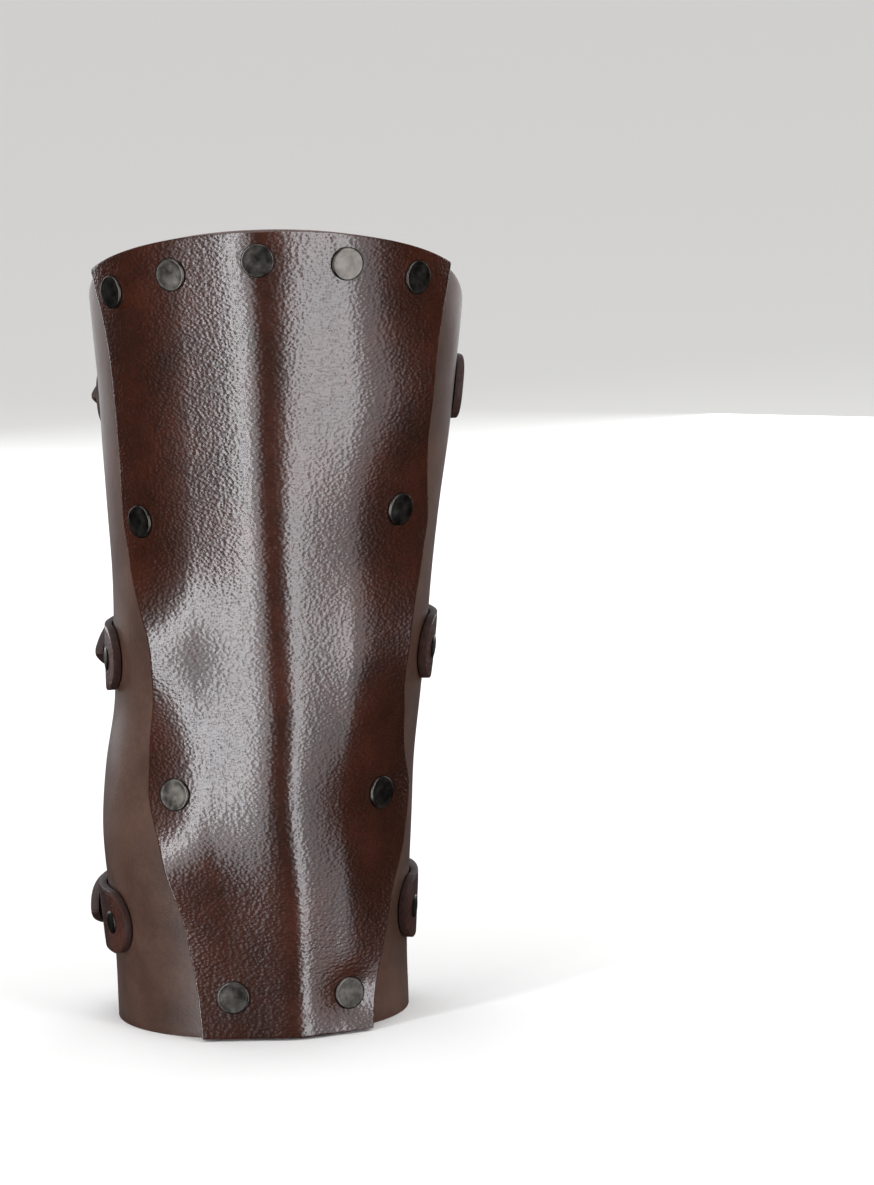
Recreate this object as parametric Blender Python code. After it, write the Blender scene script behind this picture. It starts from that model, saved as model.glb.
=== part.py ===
"""Leather arm bracer: a flared shell open at the back, a shaped front plate riveted on, three buckled straps."""
import math

import bmesh
import bpy
import numpy as np
from mathutils import Matrix, Vector
from mathutils.bvhtree import BVHTree

for old in list(bpy.data.objects):
    bpy.data.objects.remove(old, do_unlink=True)

MM = 0.001
DEG = math.pi / 180

# Shell: stands on the wrist edge, front towards -Y, opening towards +Y. Angles are measured
# from the front, positive towards +X.
LENGTH = 251 * MM
WRIST_RADIUS = 46 * MM
ARM_RADIUS = 59 * MM
LEAN = 12.7 * MM
SHELL_WALL = 2.6 * MM
GAP = 0.3 * MM
FLAP_REACH = 126 * DEG
FLAP_CORNER_TOP = 18 * MM
FLAP_CORNER_WRIST = 9 * MM
WRIST_EDGE_RISE = 4 * MM
WRIST_EDGE_FLAT = 92 * DEG
CROWN_ANGLE = -5 * DEG
CROWN_DROP = 14 * MM
CROWN_DROP_AT = 65 * DEG
SIDE_ANGLE = 90 * DEG
FLAP_FALL = 15 * MM
SHELL_COLUMNS = 20
SHELL_CORNER_COLUMNS = 4
SHELL_ROWS = 12
SHELL_ROW_SHIFT = 0.044

# height share | share of the growth from wrist to arm radius | share of the lean | share of the flap reach
SECTIONS = (
    (0.00, 0.00, 0.00, 0.895),
    (0.08, 0.01, 0.00, 0.905),
    (0.16, 0.11, 0.00, 0.920),
    (0.24, 0.21, 0.02, 0.940),
    (0.32, 0.20, 0.15, 0.965),
    (0.40, 0.17, 0.40, 0.985),
    (0.48, 0.25, 0.53, 0.995),
    (0.56, 0.33, 0.64, 1.000),
    (0.64, 0.47, 0.73, 1.000),
    (0.72, 0.63, 0.84, 1.000),
    (0.80, 0.76, 0.93, 1.000),
    (0.88, 0.91, 0.99, 1.000),
    (0.96, 1.00, 1.00, 1.000),
    (1.04, 1.06, 1.00, 1.000),
)

# Front plate
PLATE_WALL = 2.8 * MM
PLATE_LIFT = 0.8 * MM
PLATE_COLUMNS = 20
PLATE_ROWS = 21
# height share | left edge angle in degrees | right edge angle in degrees
PLATE_EDGES = (
    (0.000, -21.9, 38.9),
    (0.055, -23.4, 41.7),
    (0.110, -24.9, 44.6),
    (0.170, -27.2, 49.2),
    (0.235, -33.0, 59.3),
    (0.295, -40.4, 63.9),
    (0.335, -42.1, 59.3),
    (0.375, -42.6, 54.8),
    (0.435, -40.3, 48.8),
    (0.490, -40.5, 47.8),
    (0.540, -46.2, 50.7),
    (0.590, -53.4, 56.2),
    (0.625, -56.5, 59.0),
    (0.655, -57.7, 57.0),
    (0.700, -57.5, 52.8),
    (0.745, -57.4, 49.7),
    (0.820, -58.0, 49.5),
    (0.880, -60.2, 53.0),
    (0.950, -66.5, 60.5),
    (1.000, -70.0, 65.0),
)
# A ridge runs down the plate between two flat flanks; the edges lift off the shell between the rivets.
# height share | ridge line angle in degrees | share of the ridge height | facing of its left flank | of its right
RIB_LINE = (
    (0.00, 12.5, 0.80, -8.0, 24.0),
    (0.06, 12.5, 0.85, -8.0, 24.0),
    (0.18, 11.8, 1.20, -12.0, 24.0),
    (0.36, 5.6, 1.50, -20.0, 22.0),
    (0.55, 0.3, 1.20, -22.0, 20.0),
    (0.74, -3.0, 1.00, -23.0, 17.0),
    (0.92, -4.4, 0.95, -23.0, 15.0),
    (1.00, -5.0, 0.90, -23.5, 14.0),
)
RIB_HEIGHT = 3.6 * MM
CREST_EASE = 5.0
FLANK_RUN = 22.0
PLATE_GAP = 0.6 * MM
WING_HEIGHT = 5.5 * MM
WING_CURVE = 2.8
# height share | share of the wing height at the left edge | share at the right edge
WINGS = (
    (0.00, 0.20, 0.60),
    (0.07, 0.20, 0.65),
    (0.14, 0.60, 0.75),
    (0.20, 0.90, 0.50),
    (0.27, 0.35, 0.10),
    (0.34, 0.15, 0.00),
    (0.41, 0.60, 0.45),
    (0.48, 1.00, 0.95),
    (0.55, 0.70, 0.65),
    (0.62, 0.10, 0.10),
    (0.70, 0.00, 0.35),
    (0.79, 0.10, 0.75),
    (0.87, 0.05, 0.40),
    (0.95, 0.00, 0.00),
    (1.00, 0.00, 0.00),
)
DENT_RADIUS = 10.5 * MM

# Plate rivets: angle in degrees | height in shares of the length | share of the dent radius | dent depth share
RIVET_PLACES = (
    (-54.3, 0.925, 0.9, 0.90),
    (-31.0, 0.949, 0.9, 0.35),
    (-5.1, 0.966, 0.8, 0.10),
    (19.9, 0.956, 0.9, 0.30),
    (43.3, 0.932, 0.9, 0.90),
    (-47.8, 0.643, 1.2, 0.95),
    (43.2, 0.648, 1.3, 0.95),
    (-30.3, 0.308, 1.1, 0.90),
    (45.9, 0.295, 1.5, 0.95),
    (-10.8, 0.055, 1.0, 0.80),
    (31.5, 0.051, 0.7, 0.70),
)
RIVET_CAP_RADIUS = 5.1 * MM
RIVET_CAP_HEIGHT = 1.5 * MM
RIVET_SHANK_RADIUS = 1.6 * MM
RIVET_HOLE_RADIUS = 1.9 * MM
RIVET_END_RADIUS = 3.4 * MM
RIVET_END_HEIGHT = 1.2 * MM
RIVET_BORE_RADIUS = 1.2 * MM
RIVET_BORE_DEPTH = 3.0 * MM
RIVET_SIDES = 8
STRAP_RIVET_CAP_RADIUS = 3.6 * MM
STRAP_RIVET_CAP_HEIGHT = 0.5 * MM
STRAP_RIVET_INSET = 9.0 * MM

# Straps and buckles, from the arm end down
STRAP_HALF_WIDTH = 10 * MM
STRAP_WALL = 2.3 * MM
STRAP_CORNER_EASE = 2.4 * MM
STRAP_GAP = 0.55 * MM
# name | height share | fixed tongue end angle in degrees | buckle strap end angle in degrees | keeper skew
STRAPS = (
    ("upper", 0.775, 90.0, 104.0, 0.0),
    ("middle", 0.458, 69.0, 70.0, 5.0),
    ("lower", 0.131, 66.0, 58.0, 0.0),
)
HINGE_FROM_FLAP = 45 * MM
ROLLER_FROM_HINGE = 19 * MM
KEEPER_FROM_HINGE = 13 * MM
TONGUE_PAST_HINGE = 60 * MM
TONGUE_TAPER = 24 * MM
TONGUE_TIP_HALF_WIDTH = 0.9 * MM
PRONG_HOLE_BEFORE_HINGE = 8.0 * MM
HOLE_PITCH = 16.6 * MM
HOLE_RADIUS = 1.9 * MM
HOLES_BEFORE_PRONG = 2
HOLES_AFTER_PRONG = 3
PRONG_SLOT_LENGTH = 10.0 * MM
PRONG_SLOT_WIDTH = 3.2 * MM
WIRE_RADIUS = 1.15 * MM
FRAME_HALF_HEIGHT = 12.6 * MM
FRAME_CORNER = 3.0 * MM
ROLLER_RADIUS = 2.7 * MM
ROLLER_HALF_LENGTH = 9.6 * MM
ROLLER_BORE = 1.45 * MM
PRONG_RADIUS = 1.0 * MM
PRONG_COLLAR_RADIUS = 2.3 * MM
PRONG_COLLAR_HALF_WIDTH = 1.5 * MM
FOLD_WALL = 1.3 * MM
FOLD_HEART = 2.0 * MM
FOLD_START = 0.8 * MM
FOLD_LENGTH = 19 * MM
FOLD_BORE = 1.45 * MM
FOLD_SLOT_WIDTH = 4.4 * MM
KEEPER_HALF_HEIGHT = 13.4 * MM
KEEPER_CORNER = 3.2 * MM
HINGE_LEVEL = 3.15 * MM
TONGUE_AT_ROLLER = 1.3 * MM
TONGUE_OVER_HINGE = 6.4 * MM
# distance past the hinge in shares of the roller distance | tongue level in shares of its height over the hinge
TONGUE_LEVELS = (
    (-2.60, 0.086),
    (-1.90, 0.102),
    (-1.00, 0.203),
    (-0.60, 0.453),
    (-0.20, 0.891),
    (0.00, 0.992),
    (0.15, 1.000),
    (0.40, 0.930),
    (0.80, 0.781),
    (1.40, 0.672),
    (2.00, 0.648),
    (4.50, 0.641),
)


def column(table, index, x):
    """Smooth curve through one column of a table."""
    xs = [row[0] for row in table]
    ys = [row[index] for row in table]
    if x <= xs[0]:
        return ys[0]
    if x >= xs[-1]:
        return ys[-1]
    k = max(i for i in range(len(xs) - 1) if xs[i] <= x)

    def slope(i):
        low, high = max(i - 1, 0), min(i + 1, len(xs) - 1)
        return (ys[high] - ys[low]) / (xs[high] - xs[low])

    step = xs[k + 1] - xs[k]
    t = (x - xs[k]) / step
    return (
        ys[k] * (1 + 2 * t) * (1 - t) ** 2
        + slope(k) * step * t * (1 - t) ** 2
        + ys[k + 1] * t * t * (3 - 2 * t)
        + slope(k + 1) * step * t * t * (t - 1)
    )


def radius(z):
    return WRIST_RADIUS + (ARM_RADIUS - WRIST_RADIUS) * column(SECTIONS, 1, z / LENGTH)


def centre(z):
    return LEAN * column(SECTIONS, 2, z / LENGTH)


def flap(z):
    return FLAP_REACH * column(SECTIONS, 3, z / LENGTH)


def on_shell(angle, z, out=0.0):
    r = radius(z) + out
    return Vector((centre(z) + r * math.sin(angle), -r * math.cos(angle), z))


def outward(angle, z):
    slope = (radius(z + MM) - radius(z - MM)) / (2 * MM)
    sway = (centre(z + MM) - centre(z - MM)) / (2 * MM) * math.sin(angle)
    return Vector((math.sin(angle), -math.cos(angle), -slope - sway)).normalized()


def clamp(x):
    return min(max(x, 0.0), 1.0)


def corner(q):
    return 1 - math.sqrt(max(0.0, 1 - clamp(q) ** 2))


def crown(angle):
    """Height of the arm edge before the flap corners are rounded."""
    turn = abs(angle - CROWN_ANGLE)
    if turn < SIDE_ANGLE:
        return LENGTH - CROWN_DROP * (turn / CROWN_DROP_AT) ** 2
    past = (turn - SIDE_ANGLE) / (FLAP_REACH - SIDE_ANGLE)
    return LENGTH - CROWN_DROP * (SIDE_ANGLE / CROWN_DROP_AT) ** 2 - FLAP_FALL * past


def arm_edge(angle):
    top = crown(angle)
    to_flap = (flap(top) - abs(angle)) * radius(top)
    return top - FLAP_CORNER_TOP * corner(1 - to_flap / FLAP_CORNER_TOP)


def wrist_edge(angle):
    rise = WRIST_EDGE_RISE * clamp((abs(angle) - WRIST_EDGE_FLAT) / (FLAP_REACH - WRIST_EDGE_FLAT)) ** 1.5
    to_flap = (flap(0) - abs(angle)) * radius(0)
    return rise + FLAP_CORNER_WRIST * corner(1 - to_flap / FLAP_CORNER_WRIST)


def mesh_object(name, verts, faces, smooth=True):
    bm = bmesh.new()
    made = [bm.verts.new(v) for v in verts]
    for face in faces:
        bm.faces.new([made[i] for i in face])
    bmesh.ops.remove_doubles(bm, verts=bm.verts, dist=1e-6)
    bmesh.ops.recalc_face_normals(bm, faces=bm.faces)
    if bm.calc_volume(signed=True) < 0:
        bmesh.ops.reverse_faces(bm, faces=bm.faces)
    mesh = bpy.data.meshes.new(name)
    bm.to_mesh(mesh)
    bm.free()
    obj = bpy.data.objects.new(name, mesh)
    bpy.context.scene.collection.objects.link(obj)
    for polygon in mesh.polygons:
        polygon.use_smooth = smooth
    return obj


def slab(name, inner, outer):
    """Closed wall between two equal grids of points."""
    rows, cols = len(inner), len(inner[0])
    verts = [p for row in inner for p in row] + [p for row in outer for p in row]
    shift = rows * cols
    faces = []
    for i in range(rows - 1):
        for j in range(cols - 1):
            a, b, c, d = i * cols + j, i * cols + j + 1, (i + 1) * cols + j + 1, (i + 1) * cols + j
            faces.append((a, d, c, b))
            faces.append((a + shift, b + shift, c + shift, d + shift))
    rim = [j for j in range(cols)]
    rim += [i * cols + cols - 1 for i in range(1, rows)]
    rim += [(rows - 1) * cols + j for j in range(cols - 2, -1, -1)]
    rim += [i * cols for i in range(rows - 2, 0, -1)]
    for k, a in enumerate(rim):
        b = rim[(k + 1) % len(rim)]
        faces.append((a, b, b + shift, a + shift))
    return mesh_object(name, verts, faces)


def lathe(name, profile, origin, axis, sides):
    """Closed round piece: profile of (radius, distance along the axis), from axis to axis."""
    turn = Vector(axis).to_track_quat("Z", "Y")
    verts, faces, rings = [], [], []
    for r, h in profile:
        if r <= 0:
            rings.append([len(verts)])
            verts.append(origin + turn @ Vector((0, 0, h)))
            continue
        rings.append(list(range(len(verts), len(verts) + sides)))
        for k in range(sides):
            a = 2 * math.pi * k / sides
            verts.append(origin + turn @ Vector((r * math.cos(a), r * math.sin(a), h)))
    for low, high in zip(rings, rings[1:]):
        for k in range(sides):
            n = (k + 1) % sides
            if len(low) == 1:
                faces.append((low[0], high[n], high[k]))
            elif len(high) == 1:
                faces.append((low[k], low[n], high[0]))
            else:
                faces.append((low[k], low[n], high[n], high[k]))
    return mesh_object(name, verts, faces)


def tube(name, path, thickness, closed, sides=6):
    """Round wire along a path of points, closed into a ring or with rounded ends."""
    count = len(path)
    verts, faces, rings = [], [], []
    side = None
    for i, point in enumerate(path):
        before = path[(i - 1) % count] if closed or i else point
        after = path[(i + 1) % count] if closed or i < count - 1 else point
        along = (after - before).normalized()
        if side is None:
            side = along.orthogonal().normalized()
        side = (side - along * side.dot(along)).normalized()
        across = along.cross(side)
        ring = []
        for k in range(sides):
            a = 2 * math.pi * k / sides
            ring.append(len(verts))
            verts.append(point + (side * math.cos(a) + across * math.sin(a)) * thickness[i])
        rings.append(ring)
    pairs = list(zip(rings, rings[1:]))
    if closed:
        first, last = rings[0], rings[-1]
        shift = min(range(sides), key=lambda k: (verts[last[0]] - verts[first[k]]).length)
        pairs.append((last, first[shift:] + first[:shift]))
    for low, high in pairs:
        for k in range(sides):
            n = (k + 1) % sides
            faces.append((low[k], low[n], high[n], high[k]))
    if not closed:
        faces.append(tuple(reversed(rings[0])))
        faces.append(tuple(rings[-1]))
    return mesh_object(name, verts, faces)


def drill(obj, cutters):
    """Cuts closed cutter bodies out of an object and keeps the result."""
    for cutter in cutters:
        cutter.hide_render = True
        cutter.display_type = "WIRE"
        cut = obj.modifiers.new("cut", "BOOLEAN")
        cut.operation = "DIFFERENCE"
        cut.solver = "EXACT"
        cut.object = cutter
        bpy.context.view_layer.objects.active = obj
        bpy.ops.object.modifier_apply(modifier=cut.name)
        bpy.data.objects.remove(cutter, do_unlink=True)


def pin_cutter(origin, axis, r, reach, sides=8):
    return lathe("cutter", ((0, -reach), (r, -reach), (r, reach), (0, reach)), origin, axis, sides)


def rest_gap(angle_deg, z):
    """How far the plate's inner face stands off the shell: ridge, lifted edges, dents at the rivets."""
    share = z / LENGTH
    r = radius(z)
    rib = column(RIB_LINE, 1, share)
    side = 1 if angle_deg < rib else 2
    q = clamp((angle_deg - rib) / (column(PLATE_EDGES, side, share) - rib))
    # two flat flanks fall from the crest, and past their feet the plate eases down to the shell
    foot = abs(column(RIB_LINE, side + 2, share) - rib)
    away = math.hypot(angle_deg - rib, CREST_EASE) - CREST_EASE
    plane = (r + RIB_HEIGHT * column(RIB_LINE, 2, share)) * math.cos(foot * DEG)
    rise = max(plane / math.cos(max(foot - away, 0) * DEG) - r, 0)
    past = clamp((away - foot) / FLANK_RUN)
    rise *= 1 - past * past * (3 - 2 * past)
    rise += WING_HEIGHT * column(WINGS, side, share) * q**WING_CURVE
    for place, height, reach, depth in RIVET_PLACES:
        across = (angle_deg - place) * DEG * r
        up = z - height * LENGTH
        rise *= 1 - depth * math.exp(-(across**2 + up**2) / (DENT_RADIUS * reach) ** 2)
    return PLATE_GAP + rise


def plate_point(angle, z, out):
    return on_shell(angle, z, out + rest_gap(angle / DEG, z))


def rivet_frame(angle_deg, z):
    angle = angle_deg * DEG
    d = 1.5 * DEG
    e = 1.5 * MM
    across = plate_point(angle + d, z, PLATE_WALL) - plate_point(angle - d, z, PLATE_WALL)
    up = plate_point(angle, z + e, PLATE_WALL) - plate_point(angle, z - e, PLATE_WALL)
    return plate_point(angle, z, PLATE_WALL), across.cross(up).normalized()


def tree_of(obj):
    points = [v.co.copy() for v in obj.data.vertices]
    return BVHTree.FromPolygons(points, [tuple(f.vertices) for f in obj.data.polygons])


def seat(tree, point, axis, r):
    """Height and tilt at which a flat disc of radius r rests on a body, seen from along the axis."""
    for _ in range(3):
        side = axis.orthogonal().normalized()
        across = axis.cross(side)
        hits = []
        for k in range(16):
            a = 2 * math.pi * k / 16
            start = point + axis * r * 3 + (side * math.cos(a) + across * math.sin(a)) * r
            hit = tree.ray_cast(start, -axis)[0]
            hits.append(hit if hit is not None else start - axis * r * 3)
        middle = sum(hits, Vector()) / len(hits)
        tilt = Vector()
        for k in range(16):
            tilt += (hits[k] - middle).cross(hits[(k + 4) % 16] - middle)
        axis = tilt.normalized()
    high = max((h - point).dot(axis) for h in hits)
    return point + axis * high, axis


def depth_below(tree, point, axis, r):
    """Distance from a point down to the far face of a body, the greatest within radius r."""
    side = axis.orthogonal().normalized()
    across = axis.cross(side)
    far = 0.0
    for k in range(9):
        a = 2 * math.pi * k / 8
        reach = 0 if k == 8 else r
        start = point - axis * WRIST_RADIUS / 2 + (side * math.cos(a) + across * math.sin(a)) * reach
        hit = tree.ray_cast(start, axis)[0]
        if hit is not None:
            far = max(far, (point - hit).dot(axis))
    return far


def strap_rivet(name, top, axis, depth):
    """Low cap outside, shank through strap and shell, flat washer inside."""
    inner = -depth - GAP
    profile = (
        (0, STRAP_RIVET_CAP_HEIGHT + GAP),
        (STRAP_RIVET_CAP_RADIUS * 0.8, STRAP_RIVET_CAP_HEIGHT * 0.7 + GAP),
        (STRAP_RIVET_CAP_RADIUS, GAP),
        (RIVET_SHANK_RADIUS, GAP),
        (RIVET_SHANK_RADIUS, inner),
        (RIVET_END_RADIUS, inner),
        (RIVET_END_RADIUS * 0.8, inner - RIVET_END_HEIGHT * 0.7),
        (0, inner - RIVET_END_HEIGHT * 0.7),
    )
    return lathe(name, profile, top, axis, RIVET_SIDES)


def plate_rivet(name, top, axis, depth):
    """Domed cap outside, shank through the leather, rolled tubular end inside."""
    cap_radius, cap_height = RIVET_CAP_RADIUS, RIVET_CAP_HEIGHT
    inner = -depth - GAP
    profile = (
        (0, cap_height + GAP),
        (cap_radius * 0.62, cap_height * 0.82 + GAP),
        (cap_radius, cap_height * 0.25 + GAP),
        (cap_radius * 0.94, GAP),
        (RIVET_SHANK_RADIUS, GAP),
        (RIVET_SHANK_RADIUS, inner),
        (RIVET_END_RADIUS, inner),
        (RIVET_END_RADIUS * 0.75, inner - RIVET_END_HEIGHT),
        (RIVET_BORE_RADIUS, inner - RIVET_END_HEIGHT * 0.7),
        (RIVET_BORE_RADIUS, inner - RIVET_END_HEIGHT + RIVET_BORE_DEPTH),
        (0, inner - RIVET_END_HEIGHT + RIVET_BORE_DEPTH),
    )
    return lathe(name, profile, top, axis, RIVET_SIDES)


def shell_angles():
    """Column positions, -1 to 1, closer together at the rounded flap corners."""
    edge = 1 - 0.17
    middle = [edge * (2 * k / SHELL_COLUMNS - 1) for k in range(SHELL_COLUMNS + 1)]
    side = [
        edge + (1 - edge) * math.sin(math.pi / 2 * k / SHELL_CORNER_COLUMNS)
        for k in range(1, SHELL_CORNER_COLUMNS + 1)
    ]
    return [-a for a in reversed(side)] + middle + side


def build_shell():
    inner, outer = [], []
    for i in range(SHELL_ROWS + 1):
        # one row lies in the hollow above the wrist, where the middle strap's lower edge runs
        t = i / SHELL_ROWS
        share = t + SHELL_ROW_SHIFT * 4 * t * (1 - t)
        row_in, row_out = [], []
        for a in shell_angles():
            angle = a * FLAP_REACH
            for _ in range(6):
                low, high = wrist_edge(angle), arm_edge(angle)
                z = low + (high - low) * share
                angle = a * flap(z)
            row_in.append(on_shell(angle, z, -SHELL_WALL))
            row_out.append(on_shell(angle, z))
        inner.append(row_in)
        outer.append(row_out)
    return slab("shell", inner, outer)


def build_plate():
    inner, outer = [], []
    for i in range(PLATE_ROWS + 1):
        share = i / PLATE_ROWS
        row_in, row_out = [], []
        for j in range(PLATE_COLUMNS + 1):
            t = 2 * j / PLATE_COLUMNS - 1
            t = math.sin(math.pi / 2 * t) * 0.35 + t * 0.65
            left, right = column(PLATE_EDGES, 1, share), column(PLATE_EDGES, 2, share)
            for _ in range(5):
                angle = (left + (right - left) * (t + 1) / 2) * DEG
                z = PLATE_LIFT + (arm_edge(angle) - PLATE_LIFT) * share
                left, right = column(PLATE_EDGES, 1, z / LENGTH), column(PLATE_EDGES, 2, z / LENGTH)
            row_in.append(plate_point(angle, z, 0))
            row_out.append(plate_point(angle, z, PLATE_WALL))
        inner.append(row_in)
        outer.append(row_out)
    return slab("front_plate", inner, outer)


class StrapPath:
    """Plan line of a strap that hugs both flaps and spans the opening."""

    def __init__(self, height):
        self.z = height
        self.reach = flap(height)
        rows = [height + STRAP_HALF_WIDTH * t for t in (-1, -0.5, 0, 0.5, 1)]
        self.line = max(-radius(z) * math.cos(flap(z)) for z in rows)
        self.tongue_flap_x = centre(height) + radius(height) * math.sin(self.reach)
        self.hinge_x = self.tongue_flap_x - HINGE_FROM_FLAP
        steps = 720
        self.angles = [50 * DEG + 260 * DEG * k / steps for k in range(steps + 1)]
        points = [self.at(a, height, 0)[0] for a in self.angles]
        lengths = [0.0]
        for p, q in zip(points, points[1:]):
            lengths.append(lengths[-1] + (q - p).length)
        at_hinge = np.interp(-self.hinge_x, [-p.x for p in points[120:600]], lengths[120:600])
        self.lengths = [s - at_hinge for s in lengths]

    def polar(self, angle, z):
        away = abs(math.pi - angle)
        ease = STRAP_CORNER_EASE
        near = clamp(1 - abs(away - (math.pi - self.reach)) / (24 * DEG))
        near = near * near * (3 - 2 * near)
        wall = radius(z) + ease / 2 * near
        if away > 80 * DEG:
            return wall
        span = (self.line + ease / 2) / math.cos(away)
        return (wall + span - math.sqrt((wall - span) ** 2 + ease**2 * near)) / 2

    def at(self, angle, z, out):
        """Point and outward direction at an angle around the section."""
        d = 0.5 * DEG
        c = centre(self.z) + (centre(z) - centre(self.z)) * clamp((abs(math.pi - angle) / DEG - 34) / 18)

        def spot(a):
            r = self.polar(a, z)
            return Vector((c + r * math.sin(a), -r * math.cos(a), z))

        along = spot(angle + d) - spot(angle - d)
        normal = Vector((along.y, -along.x, 0)).normalized()
        return spot(angle) + normal * out, normal

    def angle(self, along):
        """Angle at a distance past the hinge, measured along the strap."""
        return float(np.interp(along, self.lengths, self.angles))

    def along(self, angle):
        return float(np.interp(angle, self.angles, self.lengths))


def spaced(path, first, last, count):
    """Stations from first to last, closer together where the strap turns over a flap edge."""
    fine = np.linspace(first, last, 200)
    turn = [abs(abs(math.pi - path.angle(s)) - (math.pi - path.reach)) / DEG for s in fine]
    weight = np.cumsum([0.0] + [0.5 + 1.8 * math.exp(-((t / 10) ** 2)) for t in turn[1:]])
    return [float(s) for s in np.interp(np.linspace(0, weight[-1], count + 1)[1:], weight, fine)]


def strap_grid(path, stations, half_width, level, wall, across=2):
    inner, outer = [], []
    for s in stations:
        angle = path.angle(s)
        row_in, row_out = [], []
        for j in range(across + 1):
            z = path.z + half_width(s) * (2 * j / across - 1)
            row_in.append(path.at(angle, z, level(s))[0])
            row_out.append(path.at(angle, z, level(s) + wall)[0])
        inner.append(row_in)
        outer.append(row_out)
    return inner, outer


def round_end(s, end):
    q = clamp(abs(s - end) / STRAP_HALF_WIDTH)
    return STRAP_HALF_WIDTH * math.sqrt(max(0.02, 1 - (1 - q) ** 2))


def tongue_level(s):
    return column(TONGUE_LEVELS, 1, s / ROLLER_FROM_HINGE) * TONGUE_OVER_HINGE


def build_tongue(name, path, fixed_end):
    start = path.along(fixed_end)
    end = TONGUE_PAST_HINGE

    def half_width(s):
        if s > end - TONGUE_TAPER:
            t = (end - s) / TONGUE_TAPER
            return TONGUE_TIP_HALF_WIDTH + (STRAP_HALF_WIDTH - TONGUE_TIP_HALF_WIDTH) * t**0.85
        return round_end(s, start)

    stations = [start + STRAP_HALF_WIDTH * q for q in (0, 0.06, 0.2, 0.42, 0.7, 1.0)]
    stations += spaced(path, start + STRAP_HALF_WIDTH, 0.0, 17)
    stations += spaced(path, 0.0, end - TONGUE_TAPER, 9)
    stations += [end - TONGUE_TAPER * q for q in (0.8, 0.6, 0.42, 0.26, 0.12, 0.0)]
    strap = slab(f"tongue_strap_{name}", *strap_grid(path, stations, half_width, tongue_level, STRAP_WALL))
    cutters = []
    prong = -PRONG_HOLE_BEFORE_HINGE
    for k in range(-HOLES_BEFORE_PRONG, HOLES_AFTER_PRONG + 1):
        s = prong + k * HOLE_PITCH
        if k == 0 or s < start + STRAP_RIVET_INSET + HOLE_PITCH / 2:
            continue
        point, normal = path.at(path.angle(s), path.z, tongue_level(s) + STRAP_WALL / 2)
        cutters.append(pin_cutter(point, normal, HOLE_RADIUS, 1.3 * STRAP_WALL))
    cutters.append(slot_cutter(path, prong + PRONG_SLOT_LENGTH * 0.16, PRONG_SLOT_LENGTH, PRONG_SLOT_WIDTH))
    drill(strap, cutters)
    return strap


def box_body(name, low, high):
    corners = [(x, y, z) for x in (low[0], high[0]) for y in (low[1], high[1]) for z in (low[2], high[2])]
    faces = ((0, 1, 3, 2), (4, 6, 7, 5), (0, 4, 5, 1), (2, 3, 7, 6), (0, 2, 6, 4), (1, 5, 7, 3))
    return mesh_object(name, [Vector(c) for c in corners], faces, smooth=False)


def slot_cutter(path, along, length, width):
    x = path.hinge_x - along
    return box_body(
        "cutter",
        (x - length / 2, path.line + TONGUE_OVER_HINGE * 0.3, path.z - width / 2),
        (x + length / 2, path.line + TONGUE_OVER_HINGE * 2.2, path.z + width / 2),
    )


def build_buckle_strap(name, path, far_end):
    """Short strap folded round the hinge bar; its rounded end lies on the flap."""
    end = path.along(2 * math.pi - far_end)
    fold = FOLD_BORE + FOLD_WALL
    double = 2 * FOLD_WALL + FOLD_HEART

    def half_width(s):
        return round_end(s, end)

    def thickness(s):
        q = clamp(s / FOLD_LENGTH * 1.9 - 0.9)
        return double + (STRAP_WALL - double) * q * q * (3 - 2 * q)

    stations = [FOLD_START] + [FOLD_LENGTH * q for q in (0.26, 0.47, 0.63, 0.82, 1.0)]
    stations += spaced(path, FOLD_LENGTH, end - STRAP_HALF_WIDTH, 10)
    stations += [end - STRAP_HALF_WIDTH * q for q in (0.7, 0.42, 0.2, 0.06, 0)]
    inner, outer = [], []
    for s in stations:
        angle = path.angle(s)
        row_in, row_out = [], []
        for j in range(3):
            z = path.z + half_width(s) * (j - 1)
            row_in.append(path.at(angle, z, STRAP_GAP)[0])
            row_out.append(path.at(angle, z, STRAP_GAP + thickness(s))[0])
        inner.append(row_in)
        outer.append(row_out)
    strap = slab(f"buckle_strap_{name}", inner, outer)
    hinge = Vector((path.hinge_x, path.line + STRAP_CORNER_EASE / 2 + HINGE_LEVEL, path.z))
    half = STRAP_HALF_WIDTH
    eye = lathe("eye", ((0, -half), (fold, -half), (fold, half), (0, half)), hinge, (0, 0, 1), 12)
    join = strap.modifiers.new("join", "BOOLEAN")
    join.operation = "UNION"
    join.solver = "EXACT"
    join.object = eye
    bpy.context.view_layer.objects.active = strap
    bpy.ops.object.modifier_apply(modifier=join.name)
    bpy.data.objects.remove(eye, do_unlink=True)
    slot = box_body(
        "cutter",
        (hinge.x - fold * 1.25, hinge.y - fold * 2, path.z - FOLD_SLOT_WIDTH / 2),
        (hinge.x + fold * 2, hinge.y + fold * 2, path.z + FOLD_SLOT_WIDTH / 2),
    )
    drill(strap, [pin_cutter(hinge, (0, 0, 1), FOLD_BORE, half * 1.4, 10), slot])
    return strap, hinge


def oblong(half_long, half_high, corner_radius, steps=3):
    """Rounded rectangle as a list of (along, up) points."""
    points = []
    for quarter in range(4):
        sx = 1 if quarter in (0, 3) else -1
        sy = 1 if quarter in (0, 1) else -1
        cx, cy = sx * (half_long - corner_radius), sy * (half_high - corner_radius)
        for k in range(steps + 1):
            a = math.pi / 2 * (quarter + k / steps)
            points.append((cx + corner_radius * math.cos(a), cy + corner_radius * math.sin(a)))
    return points


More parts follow.
